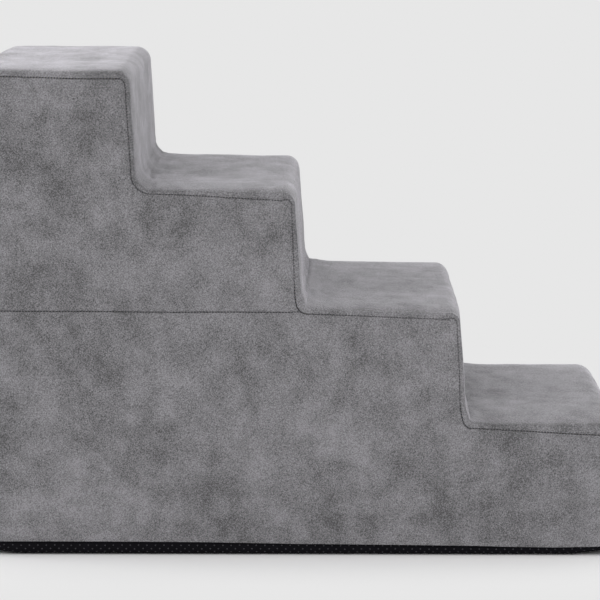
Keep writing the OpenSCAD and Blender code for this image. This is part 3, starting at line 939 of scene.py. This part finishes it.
def metal_finish(colours):
    """Gunmetal lacquer: a satin coat over cast metal, with an orange-peel skin and fine scratches."""
    look = Finish("gunmetal", Metallic=0.65, Coat_Weight=0.25, Coat_Roughness=0.2)
    place = look.place()
    peel = look.noise(place, 900.0, 2.0, 0.5)
    scratches = look.noise(look.scaled(place, (1.0, 0.1, 1.6)), 1400.0, 4.0, 0.7)
    base = tuple(c * 1.9 for c in colours.zip_metal)
    return look.feed(Base_Color=look.shades(scratches, base, 0.75, 1.35),
                     Normal=look.bump(peel, 0.00008, 0.4), Roughness=0.26 + scratches * 0.24)


FINISHES = {"brushed_suede": suede_finish, "knitted_grip": grip_finish, "rubber_dots": dot_finish,
            "sewing_thread": thread_finish, "open_cell_foam": foam_finish, "woven_tape": tape_finish,
            "coil_nylon": coil_finish, "gunmetal": metal_finish}


def finish_of(context, name):
    """The material of that name, made when it is first used."""
    return bpy.data.materials.get(name) or FINISHES[name](context.scene.stair_colours)


def plan(context):
    """The outline of the stairs and the values of their cover."""
    return Outline(context.scene.stair_sizes), context.scene.stair_cover


class SeamPull:
    """Moves points of a side, given as (x, z), so that what lies on the plain inset line comes to lie
    on the edge seam. Beside the line a point moves as the nearest place of the line does. Further in
    it takes a mean of all places, weighed by one over the cube of the distance, and the move fades
    over 22 mm."""

    def __init__(self, cover, outline):
        self.way = np.linspace(0, outline.length, 1100)
        self.line = outline.at(self.way, np.full(len(self.way), cover.seam_in))
        gap = seam_depth(cover, outline, self.way) - cover.seam_in
        self.push = gap[:, None] * outline.inward(outline.angle(self.way))

    def __call__(self, spots):
        moved = np.empty_like(spots)
        for part in chunks(len(spots), len(self.line)):
            far = ((spots[part][:, None] - self.line[None]) ** 2).sum(-1)
            weight = (far + 1e-6) ** -1.5
            mean = weight @ self.push / weight.sum(1)[:, None]
            nearest = far.argmin(1)
            away = np.sqrt(far[np.arange(len(part)), nearest])[:, None]
            apart = soft_step(away, 0.002, 0.006)
            pull = self.push[nearest] * (1 - apart) + mean * apart
            moved[part] = spots[part] + pull * bell(away, 0.022)
        return moved


# Operators

class STAIRS_OT_foam(Operator):
    """Builds the four foam slabs of the core"""
    bl_idname = "stairs.foam"
    bl_label = "Foam core"
    INSET = 0.0074
    EDGE = 0.007
    GAP = 0.0004
    LEAN = 0.004
    UNDERSIDE = 0.004
    ROUGH = 0.0003
    BLUNT = (0.06, 0.06, 0.06, 0.10)

    def execute(self, context):
        outline, _ = plan(context)
        for k, name in enumerate(FOAM):
            piece = make_piece(context, name, *self.slab(outline, k), "open_cell_foam",
                               [f"foam_slab_{k + 1}"])
        return {"FINISHED"}

    def slab(self, outline, k):
        """A slab is a box whose points run on a superellipse: across it, rings shrink by
        edge * (1 - sqrt(1 - t^2)) towards both faces, and a ring goes round the slab's side view,
        which is a rounded rectangle that leans with its riser. Noise roughens the cut. The top rear
        corner is drawn in to the cover's radius there."""
        inset, edge = self.INSET, self.EDGE
        low = self.UNDERSIDE if k == 0 else outline.rises[k - 1] - inset + self.GAP
        high = outline.rises[k] - inset - self.GAP
        rear = inset - outline.half
        front = outline.at(outline.arcs[2 * k, 0], inset)[0]
        t = circle(96)
        blunt = self.BLUNT[k]
        reach = (np.abs(np.cos(t)) ** (2 / blunt) + np.abs(np.sin(t)) ** (2 / blunt)) ** (-blunt / 2)
        across = np.sin(np.linspace(-np.pi / 2, 0, 8))
        depth = edge * (1 - np.sqrt(np.clip(1 - across ** 2, 0, 1)))
        half_w = outline.half_w - inset
        end = -half_w + edge * (1 + across)
        middle = np.linspace(-half_w + edge, half_w - edge, 40)[1:-1]
        y = np.concatenate([end, middle, -end[::-1]])[:, None]
        shrink = np.concatenate([depth, 0 * middle, depth[::-1]])[:, None]
        wide, tall = (front - rear) / 2 - shrink, (high - low) / 2 - shrink
        up = tall * np.sin(t) * reach
        x = (front + rear) / 2 + wide * np.cos(t) * reach - self.LEAN * up / (high - low)
        z = (high + low) / 2 + up
        x = x + self.ROUGH * soft_noise(y, z * 3 + x, 0.006, 31 + k)
        dx, dz = x + outline.half - outline.back_r, z - outline.top + outline.back_r
        far = np.where((dx < 0) & (dz > 0), np.hypot(dx, dz), 0) + 1e-9
        draw = 1 - np.minimum((outline.back_r - inset - shrink) / far, 1)
        x, z = x - dx * draw, z - dz * draw
        return closed_tube(np.stack([x, np.broadcast_to(y, x.shape), z], -1))


class STAIRS_OT_tread_strip(Operator):
    """Builds the suede strip that runs over all risers and treads"""
    bl_idname = "stairs.tread_strip"
    bl_label = "Tread strip"
    # How strongly the creases at the risers' feet are painted lighter and darker, as painted light and shade
    CREASE_SHADING_PAINT = 6000.0

    def execute(self, context):
        outline, cover = plan(context)
        low = outline.way_at_height(cover.hem_z, True)
        high = outline.way_at_height(cover.rear_seam_z + SEAM_GAP, False)
        way = outline.samples(low, high)

        def relief(s, y):
            return strip_relief(cover, outline, s, y) + end_roll(s, [high])

        *layers, seam = wrapped_panel(cover, outline, way, relief)
        y, _, side = wrap_section(cover, outline, way)
        # The creases' depth is painted into the colour as light and shade, on top of the seams' painted
        # shade
        creases = foot_creases(cover, outline, way[:, None], y) * (1 - fading(side, 0.006))
        layers.append(seam + self.CREASE_SHADING_PAINT * creases.ravel())
        cover_sheet(context, "tread_strip_cover", layers, ["tread_strip"],
                    (high - low, outline.width + 2 * TURNED_IN))
        return {"FINISHED"}


class STAIRS_OT_side_panels(Operator):
    """Builds the two side panels of each side, above and below the level seam"""
    bl_idname = "stairs.side_panels"
    bl_label = "Side panels"
    ALLOWANCE = 0.012
    FULLNESS = 1.06
    LIP = 0.0009
    LIP_REACH = 0.0013
    PUCKER = 0.00022
    PULL = 0.00016
    DENT = 0.0012

    def execute(self, context):
        outline, cover = plan(context)
        split, top = cover.side_seam_z, outline.top - cover.seam_in - SEAM_GAP
        for level, low, high, rests_on in (("lower", cover.hem_z, split - SEAM_GAP, FOAM[:3]),
                                           ("upper", split + SEAM_GAP, top, FOAM[2:])):
            for side, flip in SIDES:
                layers, area = self.panel(cover, outline, low, high, flip)
                size = np.ptp(layers[0], axis=0) + self.ALLOWANCE
                cover_sheet(context, f"{side}_side_{level}_cover", layers, [f"{side}_side_panel_{level}"],
                            (size[0], size[2]), rests_on, area=area * self.FULLNESS)
        return {"FINISHED"}

    def panel(self, cover, outline, low, high, flip):
        """A side panel: its depth below the side face is a lip that rolls into the seams,
        lip * (1 - distance / reach)^2, minus a crown that grows with the distance from the seams,
        plus puckers beside them, noise, and a dent behind the foot where the level seam ends. The
        lower hem has no lip."""
        inset = cover.seam_in + GROOVE
        x, z, keep = side_grid(outline, low, high, inset)
        flat = np.stack([x.ravel(), z.ravel()], 1)
        away, along = distance_to_line(flat, side_line(outline, low, high, inset))
        hemmed = low < outline.rises[0]
        held = 1 - hemmed * (flat[:, 1] - low < away + 1e-6)
        calm = soft_step(flat[:, 1], cover.hem_z + 0.001, cover.hem_z + 0.012) if hemmed else 1.0
        lip = self.LIP * (1 - np.clip(away / self.LIP_REACH, 0, 1)) ** 2 * held
        crown = cover.crown * (1 - fading(away, 0.045)) * calm
        seed = 40 if flip < 0 else 50
        pucker = self.PUCKER * fading(away, 0.006) * soft_noise(along, away * 0.4, 0.009, seed)
        pull = self.PULL * fading(away, 0.018) * soft_noise(along, away * 0.3, 0.023, seed + 1)
        noise = uneven(*flat.T, (0.0007, 0.09, seed + 2), (0.0003, 0.035, seed + 3))
        corner = outline.at(outline.arcs[3].mean(), inset)
        dx, dz = (flat - corner + (0.012, 0.002 if hemmed else 0.001)).T
        dent = self.DENT * bell(dx, 0.02) * bell(dz, 0.008) * (1 - fading(away, 0.003))
        depth = lip - crown + (pucker + pull) * held + noise * calm * (1 - fading(away, 0.01)) + dent
        y = flip * (outline.half_w - depth)
        thick = CLOTH * (0.5 + 0.5 * np.clip(away / 0.003, 0, 1))
        x, z = SeamPull(cover, outline)(flat).T
        faces = grid_faces(*(n + 1 for n in keep.shape))[keep.ravel()]
        used, faces = np.unique(faces, return_inverse=True)
        faces = faces.reshape(-1, 4)[:, ::-flip]
        outer, inner = (np.stack([x, y - flip * deep, z], 1)[used] for deep in (0, thick))
        corners = outer[faces][..., [0, 2]]
        p, q = corners[:, 2] - corners[:, 0], corners[:, 3] - corners[:, 1]
        area = float(np.abs(p[:, 0] * q[:, 1] - p[:, 1] * q[:, 0]).sum() / 2)
        uv = np.stack([flat[:, 1], flat[:, 0] + 3 * flip], 1)
        # The last entry is the painted shade along the seams, with none at the hem
        return (outer, inner, faces, uv[used], (fading(away, SEAM_SHADE) * held)[used]), area


class STAIRS_OT_back(Operator):
    """Builds the suede of the back: above, below and beside the zip's slot"""
    bl_idname = "stairs.back"
    bl_label = "Back panels"
    SLOT_GAP = 0.0002
    ZIP_PROUD = 0.0003
    TAB_CLOTH = 0.0008
    TAB_FOLD = 0.0009

    def execute(self, context):
        outline, cover = plan(context)
        slot_top, slot_bottom = SLOT_HIGH.z + self.SLOT_GAP, SLOT_LOW.z - self.SLOT_GAP
        spans = (("back_cover", "back_panel", cover.rear_seam_z - SEAM_GAP, slot_top, 2),
                 ("back_lower_cover", "back_lower_strip", slot_bottom, cover.hem_z, 1))
        for name, node, top, bottom, rolled in spans:
            low, high = ends = [outline.way_at_height(z, False) for z in (top, bottom)]
            inner = (low + 0.012, high - 0.006)
            way = np.concatenate([seam_rows(low, inner[0], low)[:-1],
                                  graded(*inner, inner, 0.0024, 0.0055, 0.02)[:-1],
                                  seam_rows(inner[1], high, high)])

            def relief(s, y, ends=ends[:rolled]):
                from_zip = np.abs(outline.length - s - cover.zip_z)
                noise = 0.0003 + uneven(s, y, (0.0006, 0.10, 61), (0.0003, 0.04, 62))
                free = soft_step(from_zip, 0.012, 0.035) * (1 - fading(outline.half_w - np.abs(y), 0.009))
                return noise * free - self.ZIP_PROUD * fading(from_zip, 0.012) + end_roll(s, ends)

            cover_sheet(context, name, wrapped_panel(cover, outline, way, relief), [node],
                        (high - low, outline.width + 2 * TURNED_IN))
        self.tabs(context, outline, cover, slot_bottom, slot_top)
        return {"FINISHED"}

    def tabs(self, context, outline, cover, bottom, top):
        """Tabs beside the zip's ends: the wrap section from the side seam to the zip's end, carried
        from the lower to the upper edge of the slot, with a fold at the zip."""
        a, share = edge_curve()
        reach = outline.half_w - ZIP_END
        keep = a < reach - 0.001
        a, share = a[keep], share[keep]
        a = np.append(a, np.linspace(a[-1], reach, 6)[1:])
        d = np.append(share, np.full(5, share[-1])) * (cover.seam_in - GROOVE)
        way = outline.way_at_height(np.linspace(top - SEAM_GAP, bottom + SEAM_GAP, 15), False)
        s = np.broadcast_to(way[:, None], (len(way), len(a)))
        depth = d + end_roll(s, [way[0], way[-1]], depth=0.0010) + self.TAB_FOLD * fading(reach - a, 0.0008)
        # Painted shade where the tab turns into its seam
        seam = np.broadcast_to(fading(np.abs(cover.seam_in - d), SEAM_SHADE), s.shape).ravel()
        parts = []
        for _, flip in SIDES:
            y = np.broadcast_to(flip * (outline.half_w - a), s.shape)
            dy, dd = np.gradient(y, axis=1) * -flip, np.gradient(depth, axis=1)
            step = self.TAB_CLOTH / np.hypot(dy, dd)
            outer = carried(outline, s, y, depth)
            inner = carried(outline, s, y - flip * step * dd, depth + step * dy)
            faces = grid_faces(*s.shape)[:, ::-flip] + s.size * (flip > 0)
            parts.append((outer, inner, faces, np.stack([s, y], -1).reshape(-1, 2), seam))
        cover_sheet(context, "zip_end_tab_covers", [np.concatenate(part) for part in zip(*parts)],
                    ["zip_end_tabs"], (2 * (reach + 0.006), top - bottom), FOAM[:1])


class STAIRS_OT_base(Operator):
    """Builds the grip fabric under the stairs and its rubber dots"""
    bl_idname = "stairs.base"
    bl_label = "Grip base"
    TURN_UP = 0.0090
    DOTS_UP = 0.0075
    FABRIC = 0.0009
    BEND = 0.0062
    SET_IN = 0.0019
    SWELL = 0.0009
    CORNER_LIFT = 0.0032
    STAND = 0.0004
    SCATTER = 0.00012

    def execute(self, context):
        outline, cover = plan(context)
        ends = [half + self.TURN_UP for half in (outline.half, outline.half_w)]
        u, v = np.meshgrid(*(graded(-end, end, [-end, end], 0.0007, 0.0075, 0.014) for end in ends))
        layers = (self.surface(cover, outline, u, v, deep).reshape(-1, 3) for deep in (0.0, self.FABRIC))
        points, faces = closed_sheet(*layers, grid_faces(*u.shape)[:, ::-1])
        base = make_piece(context, "grip_base_cover", points, faces, "knitted_grip", ["base_panel"])
        2 * ends[0]
        2 * ends[1]
        self.dots(context, cover, outline)
        return {"FINISHED"}

    def surface(self, cover, outline, u, v, depth=0.0):
        """The base as a sheet laid out flat, (u, v), and folded up round its edge.

        The nearest point of an inner rectangle stays flat. What lies beyond it is a length that first
        bends up over a quarter circle and then rises. In a corner, where both u and v lie beyond, the
        square is mapped to a quarter disc: its radius is the larger of the two excesses, and its
        angle grows with the smaller one. The corners are lifted a little, and the flat part stands
        unevenly on the floor.
        """
        bend = self.BEND
        flat_x, flat_y = (half - self.SET_IN - bend for half in (outline.half, outline.half_w))
        cx, cy = np.clip(u, -flat_x, flat_x), np.clip(v, -flat_y, flat_y)
        ex, ey = np.abs(u - cx), np.abs(v - cy)
        r = np.maximum(ex, ey)
        turn = np.pi / 4 * np.minimum(ex, ey) / np.maximum(r, 1e-9)
        angle = np.where(ex >= ey, turn, np.pi / 2 - turn)
        nx, ny = np.cos(angle) * np.sign(u), np.sin(angle) * np.sign(v)
        arc = np.clip(r / bend, 0, np.pi / 2)
        rise = np.maximum(r - bend * np.pi / 2, 0)
        radius = bend - depth
        out = radius * np.sin(arc)
        z = bend - radius * np.cos(arc) + rise
        x, y = cx + nx * out, cy + ny * out
        hem = hem_height(cover, x, outline.half)
        swell = self.SWELL * np.sin(np.pi * np.clip(z / hem, 0, 1)) * (arc > 0)
        x, y = x + nx * swell, y + ny * swell
        corner = 1 - soft_step(np.hypot(outline.half - np.abs(x), outline.half_w - np.abs(y)), 0.020, 0.048)
        lift = self.CORNER_LIFT * corner * (1 - soft_step(z, 0.004, 0.012))
        under = np.clip(1 - r / bend, 0, 1)
        stand = self.STAND * (1.5 + 0.5 * soft_noise(x, y, 0.06, 71)) * under
        return np.stack([x, y, z + lift + stand], -1)

    def dots(self, context, cover, outline):
        """Rubber dots on a lattice of staggered rows, laid out on the flat base and folded up with it.
        Those at the border are domes of two rings and a tip, and the others low cones."""
        half, half_w = outline.half + self.DOTS_UP, outline.half_w + self.DOTS_UP
        last_row, last_column = int(half_w / cover.dot_row), int(half / cover.dot_pitch) + 1
        n, m = np.meshgrid(np.arange(-last_column, last_column + 1), np.arange(-last_row, last_row + 1))
        u, v = (n + 0.5 * (m % 2)).ravel() * cover.dot_pitch, (m * cover.dot_row).ravel()
        inside = np.abs(u) < half
        u, v = u[inside], v[inside]
        rng = np.random.default_rng(81)
        u, v = (w + rng.normal(0, self.SCATTER, w.shape) for w in (u, v))
        h = 0.0002
        place = self.surface(cover, outline, u, v)
        along = self.surface(cover, outline, u + h, v) - self.surface(cover, outline, u - h, v)
        across = self.surface(cover, outline, u, v + h) - self.surface(cover, outline, u, v - h)
        out = np.cross(across, along)
        gap = np.array([outline.half, outline.half_w]) - np.abs(place[:, :2])
        below_hem = place[:, 2] < hem_height(cover, place[:, 0], outline.half) + 0.0015
        good = (np.linalg.norm(out, axis=1) > 1e-9) & below_hem & ~(gap < 0.008).all(1)
        place, along, out = place[good], unit(along[good]), unit(out[good])
        across = np.cross(out, along)
        border = (gap[good] < 0.009).any(1)
        for name, mine, rings, tip in (
                ("border_grip_dots", border, ((1, -0.0001), (0.72, 0.00032)), 0.00045),
                ("underside_grip_dots", ~border, ((1, -0.0001),), 0.0004)):
            points, faces = self.dot(cover.dot_r, rings, tip)
            spots, polygons = repeated(points, faces, place[mine], along[mine], across[mine], out[mine])
            make_piece(context, name, spots, polygons, "rubber_dots")

    @staticmethod
    def dot(radius, rings, tip):
        """A dot through rings, each a share of the radius at a height, closed at its foot and drawn
        to a tip."""
        turn = circle(6)
        ring = np.stack([np.cos(turn), np.sin(turn)], 1) * radius
        points, faces = closed_tube(np.stack([np.c_[ring * share, np.full(6, z)] for share, z in rings]))
        points[-1, 2] = tip
        return points, faces


class STAIRS_OT_stitches(Operator):
    """Sews the seams: stitches in every groove between the panels"""
    bl_idname = "stairs.stitches"
    bl_label = "Stitches"
    SUNK = 0.0004
    STITCH = (0.0010, 0.00042, 0.00036)
    SMALL_STITCH = (0.00085, 0.00035, 0.0003)
    TOPSTITCH_GAP = 0.0032

    def execute(self, context):
        outline, cover = plan(context)
        half, half_w = outline.half, outline.half_w
        hem = cover.hem_z + 0.002
        way = np.linspace(*(outline.way_at_height(hem, front) for front in (True, False)), 9000)
        edge = outline.at(way, seam_depth(cover, outline, way))
        corner = outline_front_x(outline, cover.side_seam_z, cover.seam_in)
        x = np.linspace(cover.seam_in - half + 0.001, corner - 0.001, 3000)
        level = SeamPull(cover, outline)(np.stack([x, np.full(len(x), cover.side_seam_z)], 1))
        for side, flip in SIDES:
            for seam, line in (("edge", edge), ("side", level)):
                line = np.insert(line, 1, flip * (half_w - self.SUNK), axis=1)
                self.sew(context, f"{side}_{seam}_stitches", [line], (0, flip, 0), [f"{side}_{seam}_seam"])
        y = np.linspace(-half_w + 0.008, half_w - 0.008, 3000)
        rear = self.across(y, self.SUNK - half, cover.rear_seam_z)
        self.sew(context, "rear_stitches", [rear], (-1, 0, 0), ["rear_seam"])
        self.sew(context, "base_stitches", [self.base_line(outline, cover)], (0, 0, -1), ["base_seam"],
                 self.SMALL_STITCH, settle=False)
        y = np.linspace(-ZIP_END, ZIP_END, 3000)
        rows = [self.across(y, -half - 0.0002, z)
                for z in (SLOT_HIGH.z + self.TOPSTITCH_GAP, SLOT_LOW.z - self.TOPSTITCH_GAP)]
        self.sew(context, "zip_topstitching", rows, (-1, 0, 0), (), settle=False)
        return {"FINISHED"}

    @staticmethod
    def across(y, x, z):
        """A level line across the stairs."""
        return np.stack([np.full(len(y), x), y, np.full(len(y), z)], 1)

    @staticmethod
    def stitch():
        """One stitch: a bar along x with rounded ends, its radius sqrt(1 - x^4) of the full one."""
        x = np.array([-0.97, -0.7, 0.0, 0.7, 0.97])[:, None]
        r = np.sqrt(1 - x ** 4)
        turn = circle(6)
        return closed_tube(np.stack([x + 0 * turn, r * np.cos(turn), r * np.sin(turn)], -1))

    def sew(self, context, name, lines, out, nodes, size=STITCH, settle=True):
        """Stitches along lines, one pitch apart, each with its length along the line and its size
        given as half its length, its width and its height."""
        outline, cover = plan(context)
        points, faces = self.stitch()
        parts = []
        for line in lines:
            ways = lengths_along(line)
            count = max(2, int(ways[-1] / cover.stitch))
            middle = (np.arange(count) + 0.5) * ways[-1] / count
            place, ahead, behind = (on_line(line, ways, middle + shift) for shift in (0, 0.0004, -0.0004))
            along = unit(ahead - behind)
            outward = square_to(np.broadcast_to(np.array(out, float), place.shape), along)
            parts.append(repeated(points * size, faces, place, along, np.cross(outward, along), outward))
        spots, polygons = joined(parts)
        spots = settled(spots, cover, outline) if settle else spots
        make_piece(context, name, spots, polygons, "sewing_thread", nodes)

    @staticmethod
    def base_line(outline, cover):
        """The line under the hem, round a rectangle with rounded corners that follows the hem's
        height."""
        inset, r = 0.0014, 0.0065
        middle = np.array([outline.half - inset - 0.0002, outline.half_w - inset]) - r
        t = np.linspace(0, np.pi / 2, 60)
        arcs = [middle * signs + r * np.stack([np.cos(t + k * np.pi / 2), np.sin(t + k * np.pi / 2)], 1)
                for k, signs in enumerate(((1, 1), (-1, 1), (-1, -1), (1, -1)))]
        ring = np.concatenate([*arcs, arcs[0][:1]])
        ways = lengths_along(ring)
        x, y = on_line(ring, ways, np.linspace(0, ways[-1], 12000)).T
        return np.stack([x, y, hem_height(cover, x, outline.half) + 0.0002], 1)


class STAIRS_OT_zip(Operator):
    """Builds the zip's tapes, coils and stops, and finishes its slider and pull"""
    bl_idname = "stairs.zip"
    bl_label = "Zip"
    TAPE_IN = 0.00018
    BEAD = 0.00012
    RIB = 0.00003
    WAVE = 0.00008
    STOP = 0.0025

    def execute(self, context):
        for side, sign in (("upper", 1), ("lower", -1)):
            self.tape(context, side, sign)
            self.coil(context, side, sign)
        self.stops(context)
        finish = finish_of(context, "gunmetal")
        for node in ("zip_slider", "zip_pull"):
            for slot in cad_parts[node].material_slots:
                slot.material = finish
        return {"FINISHED"}

    def tape(self, context, side, sign):
        """A zip tape: a flat strip with fine ribs whose inner edge is folded into a bead, with soft
        waves. Behind the coils it reaches to the other tape."""
        gap = 0.00005
        low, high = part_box(f"zip_tape_{side}")
        middle = (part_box("zip_tape_upper")[0].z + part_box("zip_tape_lower")[1].z) / 2
        wide = abs((high.z if sign > 0 else low.z) - middle) - gap
        y, w = np.meshgrid(np.linspace(low.y, high.y, 340), graded(0, wide, [0, wide], 0.0003, 0.001, 0.002),
                           indexing="ij")
        z = middle + sign * (w + gap)
        bead = self.BEAD * bell(w - 0.0004, 0.0005)
        ribs = self.RIB * np.sin(2 * np.pi * w / RIB_PITCH)
        face = low.x + self.TAPE_IN - bead - ribs + self.WAVE * soft_noise(y, w, 0.02, 91)
        outer, inner = (np.stack([x, y, z], -1).reshape(-1, 3) for x in (face, high.x - SEAM_GAP + 0 * y))
        points, faces = closed_sheet(outer, inner, grid_faces(*y.shape)[:, ::-sign])
        piece = make_piece(context, f"zip_tape_{side}_cloth", points, faces, "woven_tape",
                           [f"zip_tape_{side}"], uv=np.tile(np.stack([y, z], -1).reshape(-1, 2), (2, 1)))

    @staticmethod
    def coil(context, side, sign):
        """A zip coil: a thread of nylon wound round its line, flattened to an ellipse, one turn every
        1.27 mm. The other coil is wound the other way and half a turn on."""
        low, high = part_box(f"zip_coil_{side}")
        pitch, wire = 0.00127, 0.00027
        turns = int((high.y - low.y) / pitch)
        t = np.linspace(0, 2 * np.pi * turns, turns * 12 + 1)
        mid = (low + high) / 2
        phase = t if sign > 0 else t + np.pi
        x = ((high.x - low.x) / 2 - wire) * np.cos(phase)
        z = sign * ((high.z - low.z) / 2 - wire) * np.sin(phase)
        y = low.y + wire + (high.y - low.y - 2 * wire) * t / t[-1]
        centre = np.stack([mid.x + x, y, mid.z + z], 1)
        ahead = unit(np.gradient(centre, axis=0))
        out = square_to(np.stack([x, 0 * y, z], 1), ahead)
        a = circle(5)[None, :, None]
        beside = np.cross(ahead, out)
        rings = centre[:, None] + wire * (np.cos(a) * out[:, None] + np.sin(a) * beside[:, None])
        make_piece(context, f"zip_coil_{side}_winding", *closed_tube(rings), "coil_nylon",
                   [f"zip_coil_{side}"])

    def stops(self, context):
        """Two stops: bars across both coils with all edges rounded, as superellipsoids."""
        low, high = (np.array(corner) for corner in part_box("zip_stops"))
        u = np.linspace(-np.pi / 2, np.pi / 2, 14)[1:-1, None]
        v = circle(24)

        def blunt(w):
            return np.sign(w) * np.abs(w) ** 0.32

        rings = np.stack([blunt(np.cos(u)) * blunt(np.cos(v)), blunt(np.cos(u)) * blunt(np.sin(v)),
                          blunt(np.sin(u)) + 0 * v], -1)
        mid, half = (high + low) / 2, (high - low) / 2
        half[1] = self.STOP / 2
        bars = []
        for y in (low[1] + half[1], high[1] - half[1]):
            mid[1] = y
            bars.append(closed_tube(mid + rings * half))
        make_piece(context, "zip_stop_bars", *joined(bars), "coil_nylon", ["zip_stops"])


class STAIRS_OT_studio(Operator):
    """Sets up the floor, the lamps and the camera"""
    bl_idname = "stairs.studio"
    bl_label = "Studio"
    KEY_FROM, KEY_SPREAD = (-0.3, -1.0, 0.6), 1.2
    RIM_FROM, RIM_SPREAD = (-1.0, 0.25, 0.25), 0.5
    FRONT_SIZE, FRONT_PLACE, FRONT_TARGET = 1.8, (3.0, -0.8, 1.5), (0.1, 0.0, 0.2)
    SHADOW_HALVES = (("X", 0.305), ("Y", 0.19))
    SENSOR, LENS = 36.0, 3409 / 600 * 36
    CAMERA_PLACE, PITCH, YAW = (0.029, -3.334, 0.649), np.radians(7.38), np.radians(-0.43)

    def execute(self, context):
        light = context.scene.stair_light
        self.floor(light)
        self.sky(context.scene, light)
        self.sun("key_lamp", light.key, self.KEY_FROM, self.KEY_SPREAD)
        self.sun("rim_lamp", light.rim, self.RIM_FROM, self.RIM_SPREAD)
        self.lamp("front_lamp", light.front, self.FRONT_SIZE, self.FRONT_PLACE, self.FRONT_TARGET)
        self.camera(context.scene)
        context.scene.view_settings.view_transform = "Standard"
        return {"FINISHED"}

    @staticmethod
    def seen(look):
        """1 for rays from the camera, and for rays that a glossy or clear surface sends on."""
        camera, glossy, through = (look.add("ShaderNodeLightPath", output=name) for name in
                                   ("Is Camera Ray", "Is Glossy Ray", "Is Transmission Ray"))
        return look.maths("MINIMUM", camera + glossy + through, 1.0)

    def floor(self, light):
        """A plain floor, 12 m across. Away from the stairs the camera sees it as the background's
        colour, so that no horizon shows, and close to them it keeps their shadow."""
        mesh = bpy.data.meshes.new("floor")
        mesh.from_pydata([(-6, -6, 0), (6, -6, 0), (6, 6, 0), (-6, 6, 0)], [], [(0, 1, 2, 3)])
        floor = bpy.data.objects.new("floor", mesh)
        bpy.context.scene.collection.objects.link(floor)
        look = Finish("floor", Roughness=0.95, Specular_IOR_Level=0.0, Base_Color=(*light.floor, 1))
        place = look.place()
        gap_x, gap_y = (look.maths("MAXIMUM", look.maths("ABSOLUTE", look.axis(place, axis)) - half, 0.0)
                        for axis, half in self.SHADOW_HALVES)
        fade = look.add("ShaderNodeMapRange", {"interpolation_type": "SMOOTHSTEP"},
                        {"Value": (gap_x * gap_x + gap_y * gap_y) ** 0.5,
                         "From Min": light.fade_from, "From Max": light.fade_to})
        plain = look.add("ShaderNodeEmission", None, {"Color": (*light.background, 1), "Strength": 1.0})
        look.show(self.seen(look) * fade, Wire(look, look.shader.outputs[0]), plain)
        mesh.materials.append(look.material)

    def sky(self, scene, light):
        """An even pale light, which the camera sees as the background's colour."""
        scene.world = bpy.data.worlds.new("studio")
        scene.world.use_nodes = True
        look = Nodes(scene.world.node_tree)
        seen = self.seen(look)
        ground = look.first("BACKGROUND")
        for name, wire in (("Color", look.mix(seen, (1.0, 1.0, 1.0), tuple(light.background))),
                           ("Strength", light.sky + seen * (1.0 - light.sky))):
            look.tree.links.new(wire.socket, ground.inputs[name])

    @staticmethod
    def sun(name, strength, towards, spread):
        """A lamp of even strength everywhere, as wide as a large soft box seen from the stairs."""
        data = bpy.data.lights.new(name, "SUN")
        data.energy, data.angle = strength, spread
        lamp = bpy.data.objects.new(name, data)
        lamp.location = Vector(towards) * 3
        lamp.rotation_euler = Vector(towards).to_track_quat("Z", "Y").to_euler()
        bpy.context.scene.collection.objects.link(lamp)

    @staticmethod
    def lamp(name, power, size, place, target):
        """A square area lamp that faces its target."""
        data = bpy.data.lights.new(name, "AREA")
        data.energy, data.size = power, size
        lamp = bpy.data.objects.new(name, data)
        lamp.location = place
        lamp.rotation_euler = (Vector(target) - Vector(place)).to_track_quat("-Z", "Y").to_euler()
        bpy.context.scene.collection.objects.link(lamp)

    def camera(self, scene):
        """A long lens nearly square to the side, a little above the top tread."""
        data = bpy.data.cameras.new("camera")
        data.sensor_width, data.lens = self.SENSOR, self.LENS
        data.clip_start, data.clip_end = 0.1, 40.0
        camera = bpy.data.objects.new("camera", data)
        pitch, yaw = self.PITCH, self.YAW
        ahead = Vector((np.sin(yaw) * np.cos(pitch), np.cos(yaw) * np.cos(pitch), -np.sin(pitch)))
        right = ahead.cross(Vector((0, 0, 1))).normalized()
        up = right.cross(ahead)
        turn = Matrix((right, up, -ahead)).transposed().to_4x4()
        camera.matrix_world = Matrix.Translation(self.CAMERA_PLACE) @ turn
        scene.collection.objects.link(camera)
        scene.camera = camera


OPERATORS = (STAIRS_OT_foam, STAIRS_OT_tread_strip, STAIRS_OT_side_panels, STAIRS_OT_back, STAIRS_OT_base,
             STAIRS_OT_stitches, STAIRS_OT_zip, STAIRS_OT_studio)
GROUPS = (("stair_sizes", StairSizes), ("stair_cover", CoverShape), ("stair_colours", CoverColours),
          ("stair_light", StudioLight))


class STAIRS_PT_panel(Panel):
    """Lists the pieces of the stairs and their values"""
    bl_idname = "STAIRS_PT_panel"
    bl_label = "Pet Stairs"
    bl_space_type = "VIEW_3D"
    bl_region_type = "UI"
    bl_category = "Pet Stairs"

    def draw(self, context):
        for name, group in GROUPS:
            box = self.layout.box()
            box.label(text=group.__doc__)
            for key in group.__annotations__:
                box.prop(getattr(context.scene, name), key)
        for operator in OPERATORS:
            self.layout.operator(operator.bl_idname)


def register():
    for _, group in GROUPS:
        bpy.utils.register_class(group)
    for cls in (*OPERATORS, STAIRS_PT_panel):
        bpy.utils.register_class(cls)
    for name, group in GROUPS:
        setattr(bpy.types.Scene, name, PointerProperty(type=group))


def unregister():
    for name, _ in GROUPS:
        delattr(bpy.types.Scene, name)
    for cls in (STAIRS_PT_panel, *reversed(OPERATORS)):
        bpy.utils.unregister_class(cls)
    for _, group in reversed(GROUPS):
        bpy.utils.unregister_class(group)


def main():
    """Builds every piece."""
    register()
    for operator in OPERATORS:
        group, name = operator.bl_idname.split(".")
        getattr(getattr(bpy.ops, group), name)()


if __name__ == "__main__":
    main()
